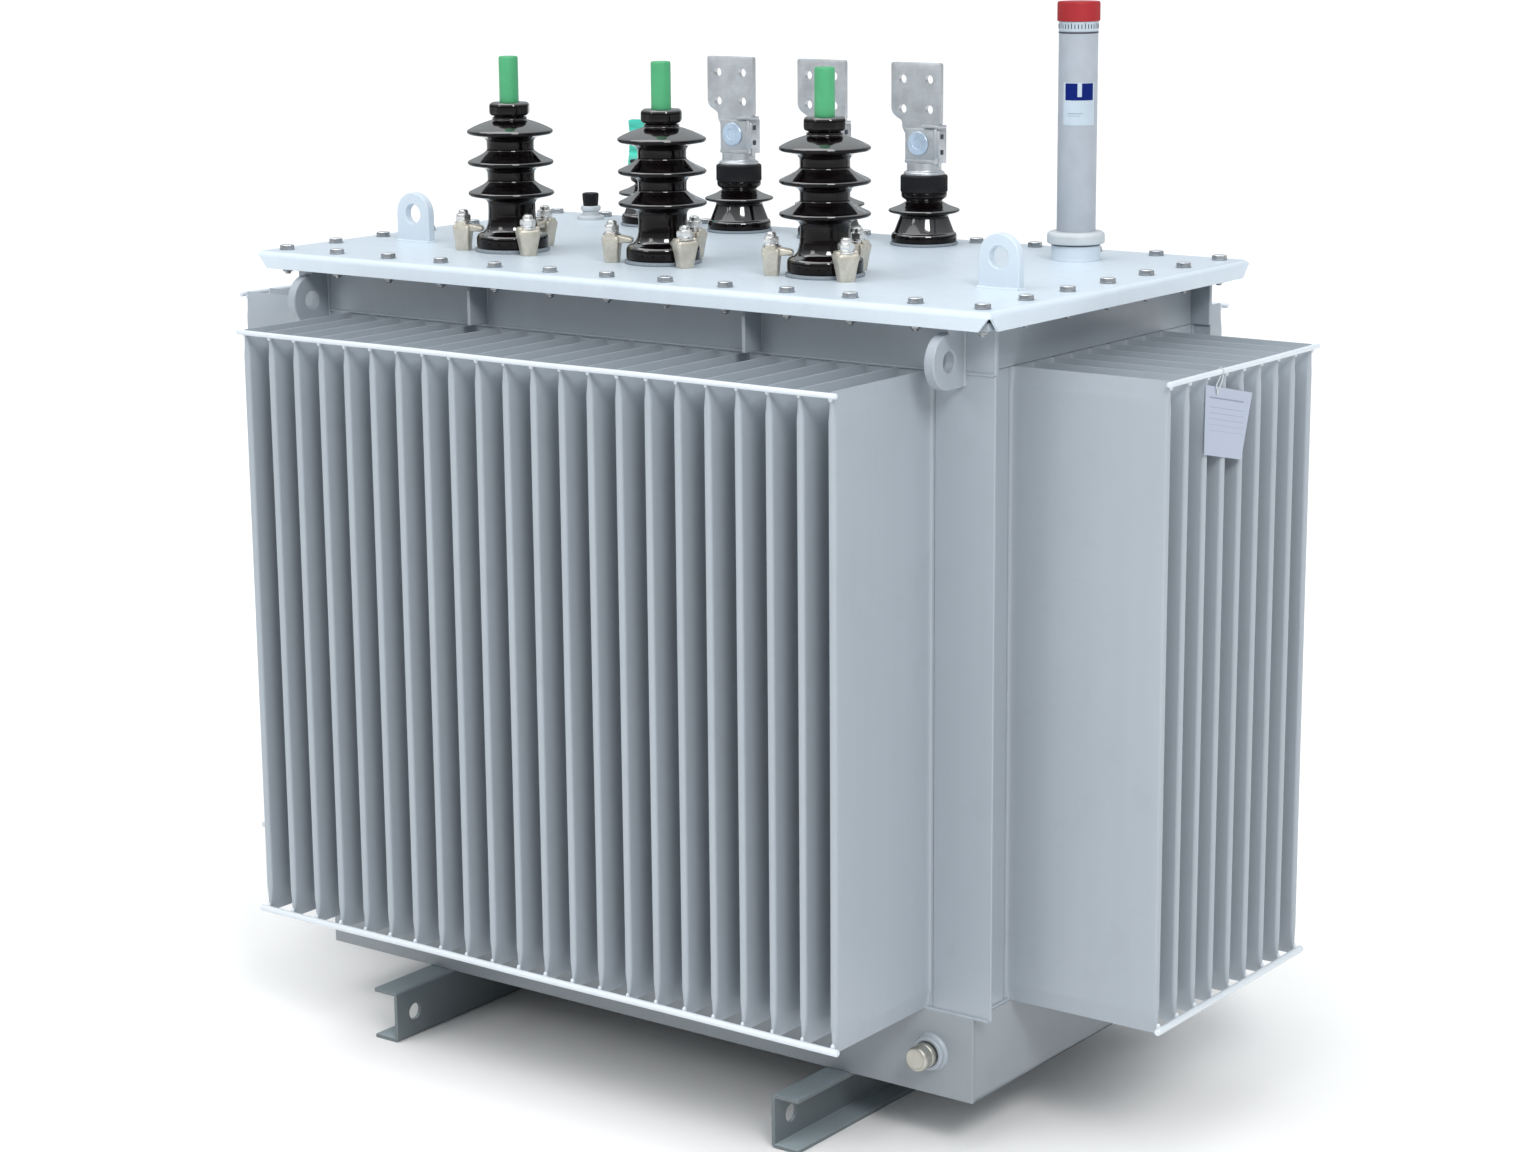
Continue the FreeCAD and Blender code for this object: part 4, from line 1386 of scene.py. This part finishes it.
class TRANSFORMER_OT_level_gauge(bpy.types.Operator):
    """The level gauge column: welded pipe, white ring, tube, label, scale band and red cap"""

    bl_idname = "transformer.level_gauge"
    bl_label = "Level gauge"

    def execute(self, context):
        self.spot = axis_of("gauge_tube", DECK)
        self.radius = (high("gauge_tube").x - low("gauge_tube").x) / 2
        # The stub gets the lightened cover enamel: painted light from above.
        self.ring("gauge_stub", [(36.4, 0), (36.8, 1.2), (36.2, 2.6), (36, 4), (36, 21.4),
                                 (35.2, 22)], "cover_paint", "gauge_pipe")
        self.ring("gauge_collar", [(34.6, 24), (41, 24.2), (42.2, 25.6), (42.2, 36), (41.2, 39),
                                   (38, 41.4), (29.2, 41.8)], "white_plastic", "gauge_ring")
        self.ring("gauge_seal", [(34.6, 21.6), (35.4, 22.2), (35.4, 24.2), (34.4, 24.6)],
                  "seal_rubber", finish="dark_mark")
        self.ring("gauge_column", [(28.5, 40.6), (28.5, 327), (28.5, 344)], "grey_tube",
                  "gauge_tube")
        self.ring("gauge_groove", [(28.4, 326.6), (28.9, 327.0), (28.9, 328.8), (28.4, 329.2)],
                  "black_plastic", finish="dark_mark")
        self.ring("gauge_band", [(28.5, 330.4), (28.8, 330.6), (28.8, 343.4), (28.5, 343.8)],
                  "white_plastic", finish="pale_label")
        self.cap()
        self.scale_marks()
        self.label()
        return {"FINISHED"}

    def ring(self, name, line, slot, node=None, finish=None):
        turned_piece(name, line, 0.6, standing(self.spot), 96, slot, node, finish)

    def cap(self):
        shape = Shape()
        rows = [(30.2, 344.0, False), (30.9, 344.8, False), (31.0, 345.6, True),
                (31.0, 368.0, True), (30.8, 369.6, False), (30.0, 371.4, False),
                (28.4, 372.0, False), (10.0, 372.0, False)]
        shape.loft(ribbed_rings(rows, 240, 60, 0.0004), standing(self.spot))
        shape.object("gauge_lid", "red_plastic", sharp=40, stands_for=["gauge_cap"])

    def patch(self, shape, centre, half, bottom, top, proud):
        """A thin sheet lying on the tube, from an angle in degrees either side of a centre."""
        columns = 14
        sunk_edge = self.radius - 0.0002
        sunk_rim = self.radius - 0.0003
        near = self.radius - 0.0006
        full = self.radius + proud
        rings = []
        for height, reach in ((bottom, sunk_rim), (bottom + 0.0002, full), (top - 0.0002, full),
                              (top, sunk_rim)):
            outer = []
            inner = []
            for index in range(columns + 1):
                turn = math.radians(centre - half + 2 * half * index / columns)
                far = sunk_edge if index in (0, columns) else reach
                outer.append(Vector((far * math.cos(turn), far * math.sin(turn), height)))
                inner.append(Vector((near * math.cos(turn), near * math.sin(turn), height)))
            rings.append(outer + list(reversed(inner)))
        shape.loft(rings, standing(self.spot))

    def label(self):
        centre = -54.0
        for name, half, bottom, top, proud, finish in (
            ("label_field", 54, 0.1960, 0.2575, 0.0005, "pale_label"),
            ("label_panel", 48, 0.2320, 0.2565, 0.0008, "blue_label"),
            ("label_slot", 7, 0.2370, 0.2565, 0.0011, "pale_label"),
        ):
            shape = Shape()
            self.patch(shape, centre, half, bottom, top, proud)
            shape.object(name, "white_plastic", sharp=50, finish=finish)
        rules = Shape()
        self.patch(rules, centre - 12, 26, 0.2128, 0.2136, 0.0007)
        self.patch(rules, centre - 16, 20, 0.2096, 0.2102, 0.0007)
        rules.object("label_rules", "black_plastic", sharp=50, finish="dark_mark")

    def scale_marks(self):
        shape = Shape()
        for index in range(36):
            tall = 0.3402 if index % 4 else 0.3416
            self.patch(shape, index * 10.0, 1.5, 0.3334, tall, 0.0006)
        shape.object("gauge_scale_marks", "black_plastic", sharp=50, finish="dark_mark")


class TRANSFORMER_OT_drain(bpy.types.Operator):
    """The drain socket on the front of the base, and its plug"""

    bl_idname = "transformer.drain"
    bl_label = "Drain"

    def execute(self, context):
        bottom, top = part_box("drain_socket")
        centre = Vector(((bottom.x + top.x) / 2, top.y, (bottom.z + top.z) / 2))
        place = facing(centre, (1, 0, 0), (0, 0, 1))
        line = [(27.4, 0), (26.4, 2.0), (24.6, 3.6), (24.2, 6), (24.2, 10.4), (23, 12), (19.4, 12),
                (18.2, 11), (18.0, 5)]
        turned_piece("drain_boss", line, 0.7, place, 64, "tank_paint", "drain_socket")
        line = [(15.0, 4), (15.0, 13.6), (17.4, 14.2), (17.8, 15), (17.8, 21), (16.6, 21.8),
                (16.6, 22.8), (17.6, 23.6), (17.6, 36.6), (16.4, 39.2), (14, 40), (12.6, 39.2),
                (4, 39.2)]
        turned_piece("drain_bung", line, 0.7, place, 64, "plug_metal", "drain_plug")
        return {"FINISHED"}


class TRANSFORMER_OT_paper_tag(bpy.types.Operator):
    """A plain card hung from the top rod of the right-hand fins"""

    bl_idname = "transformer.paper_tag"
    bl_label = "Paper tag"

    def execute(self, context):
        bottom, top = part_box("paper_tag")
        middle = (bottom.y + top.y) / 2
        half = (top.y - bottom.y) / 2
        tall = top.z - bottom.z
        card = Shape()
        columns, rows = 16, 14
        sheet = []
        for row in range(rows + 1):
            v = row / rows
            line = []
            for column in range(columns + 1):
                u = column / columns * 2 - 1
                y = u * half * (CARD_WIDTH - CARD_TAPER * v)
                z = -v * tall * CARD_TALL
                turned_y = y * math.cos(CARD_LEAN) - CARD_SWING * v
                turned_z = z + y * math.sin(CARD_LEAN)
                curl = 0.0022 * (u * u) * (0.4 + v) + 0.0012 * v * v
                line.append(Vector((bottom.x - 0.0004 + curl, middle + turned_y + CARD_SHIFT,
                                    top.z - CARD_DROP + turned_z)))
            sheet.append(line)
        skin(card, sheet, 0.0005)
        card.object("hung_card", "paper", sharp=60, stands_for=["paper_tag"])
        tie = Shape()
        radius = tank().upper_rod
        rod = high("tip_rods_end") - Vector((ROD_THICK - radius, 0.0, radius))
        loop = radius + 0.0009
        path = []
        for index in range(21):
            turn = 2 * math.pi * index / 20 - 0.6
            path.append(Vector((rod.x + loop * math.cos(turn), middle - 0.024,
                                rod.z + loop * math.sin(turn))))
        path += [Vector((rod.x + 0.0030, middle - 0.026, rod.z - 0.012)),
                 Vector((bottom.x + 0.0022, middle - 0.030, top.z - 0.016))]
        tie.tube(path, 0.0009, 8)
        path = [Vector((bottom.x + 0.0022, middle - 0.030, top.z - 0.018)),
                Vector((bottom.x + 0.0026, middle - 0.034, top.z - 0.004)),
                Vector((rod.x + 0.0016, middle - 0.027, rod.z - loop))]
        tie.tube(path, 0.0009, 8)
        tie.object("card_tie", "white_plastic", sharp=60)
        return {"FINISHED"}


def skin(shape, sheet, thick):
    """A thin closed sheet from a grid of points, thickened along X."""
    rows = len(sheet)
    columns = len(sheet[0])
    mesh = shape.mesh
    front = [[mesh.verts.new(point + X_AXIS * thick) for point in line] for line in sheet]
    back = [[mesh.verts.new(point) for point in line] for line in sheet]
    for grid in (front, back):
        for r in range(rows - 1):
            for c in range(columns - 1):
                mesh.faces.new((grid[r][c], grid[r][c + 1], grid[r + 1][c + 1], grid[r + 1][c]))
    rim = [(0, c) for c in range(columns)] + [(r, columns - 1) for r in range(1, rows)]
    rim += [(rows - 1, c) for c in range(columns - 2, -1, -1)]
    rim += [(r, 0) for r in range(rows - 2, 0, -1)]
    for index, (r, c) in enumerate(rim):
        r2, c2 = rim[(index + 1) % len(rim)]
        mesh.faces.new((front[r][c], front[r2][c2], back[r2][c2], back[r][c]))


# Stage --------------------------------------------------------------------------------------

class TRANSFORMER_OT_stage(bpy.types.Operator):
    """A plain pale floor, soft studio light and the camera"""

    bl_idname = "transformer.stage"
    bl_label = "Stage"

    def execute(self, context):
        settings = context.scene.transformer_stage
        self.floor(settings)
        self.sky(context, settings)
        middle = (0.0, 0.0, 0.7)
        self.softbox("front_softbox", (-2.2, -6.0, 4.2), middle, 2.0, settings.front_light)
        self.softbox("side_softbox", (5.0, -3.8, 5.4), middle, 2.2, settings.side_light)
        self.sun(settings)
        self.camera(context, settings)
        context.scene.view_settings.view_transform = "Standard"
        return {"FINISHED"}

    def floor(self, settings):
        shape = Shape()
        reach = 120.0
        corners = level(rectangle(-reach, reach, -reach, reach), 0.0)
        shape.mesh.faces.new([shape.mesh.verts.new(corner) for corner in corners])
        floor = shape.bare_object("studio_floor")
        finish = Finish("studio_floor_finish")
        floor.data.materials.append(
            finish.surface(Base_Color=rgba(settings.floor), Roughness=0.9)
        )

    def sky(self, context, settings):
        world = bpy.data.worlds.new("studio_sky")
        context.scene.world = world
        world.use_nodes = True
        light = Wiring(world.node_tree)
        ahead = light.add("ShaderNodeTexCoord").outputs["Generated"]
        rise = Value(light, light.add("ShaderNodeSeparateXYZ", None, {0: ahead}).outputs[2])
        strength = rise.above(0.5, 1.0) * (settings.sky - settings.horizon) + settings.horizon
        sockets = {"Color": (0.925, 0.972, 1.0, 1.0), "Strength": strength}
        background = light.add("ShaderNodeBackground", None, sockets)
        output = light.add("ShaderNodeOutputWorld")
        world.node_tree.links.new(background.outputs[0], output.inputs[0])

    def softbox(self, name, place, target, size, power):
        light = bpy.data.lights.new(name, "AREA")
        light.shape = "SQUARE"
        light.size = size
        light.energy = power
        self.lamp(light, Vector(target) - Vector(place), place)

    def sun(self, settings):
        light = bpy.data.lights.new("soft_sun", "SUN")
        light.energy = settings.sun
        light.angle = math.radians(70)
        self.lamp(light, Vector((0.25, 0.35, -1.0)))

    def lamp(self, light, ahead, place=(0.0, 0.0, 0.0)):
        """Hang a light so that it shines along a direction."""
        lamp = bpy.data.objects.new(light.name, light)
        lamp.location = place
        lamp.rotation_mode = "QUATERNION"
        lamp.rotation_quaternion = ahead.to_track_quat("-Z", "Y")
        bpy.context.scene.collection.objects.link(lamp)

    def camera(self, context, settings):
        data = bpy.data.cameras.new("camera")
        data.lens = settings.lens
        data.sensor_width = 36.0
        data.clip_end = 1000.0
        bearing, drop, roll = settings.bearing, settings.drop, settings.roll
        back = Vector((math.sin(bearing) * math.cos(drop), -math.cos(bearing) * math.cos(drop),
                       math.sin(drop)))
        right = (-back).cross(Z_AXIS).normalized()
        up = right.cross(-back)
        leaned = right * math.cos(roll) + up * math.sin(roll)
        upright = up * math.cos(roll) - right * math.sin(roll)
        camera = bpy.data.objects.new("camera", data)
        placing = Matrix((leaned, upright, back)).transposed().to_4x4()
        placing.translation = Vector(settings.camera)
        camera.matrix_world = placing
        context.scene.collection.objects.link(camera)
        context.scene.camera = camera


# Panel and running --------------------------------------------------------------------------

OPERATORS = (
    TRANSFORMER_OT_skids,
    TRANSFORMER_OT_tank_box,
    TRANSFORMER_OT_cooling_fins,
    TRANSFORMER_OT_tip_rods,
    TRANSFORMER_OT_tank_lugs,
    TRANSFORMER_OT_cover,
    TRANSFORMER_OT_cover_bolts,
    TRANSFORMER_OT_hv_bushings,
    TRANSFORMER_OT_clamp_dogs,
    TRANSFORMER_OT_lv_bushings,
    TRANSFORMER_OT_lv_terminals,
    TRANSFORMER_OT_neutral_terminal,
    TRANSFORMER_OT_filler,
    TRANSFORMER_OT_level_gauge,
    TRANSFORMER_OT_drain,
    TRANSFORMER_OT_paper_tag,
    TRANSFORMER_OT_stage,
)

SETTINGS = (
    ("transformer_tank", TransformerTank),
    ("transformer_bushings", TransformerBushings),
    ("transformer_fittings", TransformerFittings),
    ("transformer_stage", TransformerStage),
)


class TRANSFORMER_PT_pieces(bpy.types.Panel):
    """The pieces and their settings"""

    bl_idname = "TRANSFORMER_PT_pieces"
    bl_label = "Power transformer"
    bl_space_type = "VIEW_3D"
    bl_region_type = "UI"
    bl_category = "Transformer"

    def draw(self, context):
        for operator in OPERATORS:
            self.layout.operator(operator.bl_idname)
        for name, group in SETTINGS:
            box = self.layout.box()
            settings = getattr(context.scene, name)
            for key in group.__annotations__:
                box.prop(settings, key)


def register():
    for name, group in SETTINGS:
        bpy.utils.register_class(group)
        setattr(bpy.types.Scene, name, bpy.props.PointerProperty(type=group))
    for operator in OPERATORS:
        bpy.utils.register_class(operator)
    bpy.utils.register_class(TRANSFORMER_PT_pieces)


def unregister():
    bpy.utils.unregister_class(TRANSFORMER_PT_pieces)
    for operator in reversed(OPERATORS):
        bpy.utils.unregister_class(operator)
    for name, group in reversed(SETTINGS):
        delattr(bpy.types.Scene, name)
        bpy.utils.unregister_class(group)


def main():
    """Register the add-on and make every piece."""
    register()
    for operator in OPERATORS:
        category, name = operator.bl_idname.split(".")
        getattr(getattr(bpy.ops, category), name)()


if __name__ == "__main__":
    main()
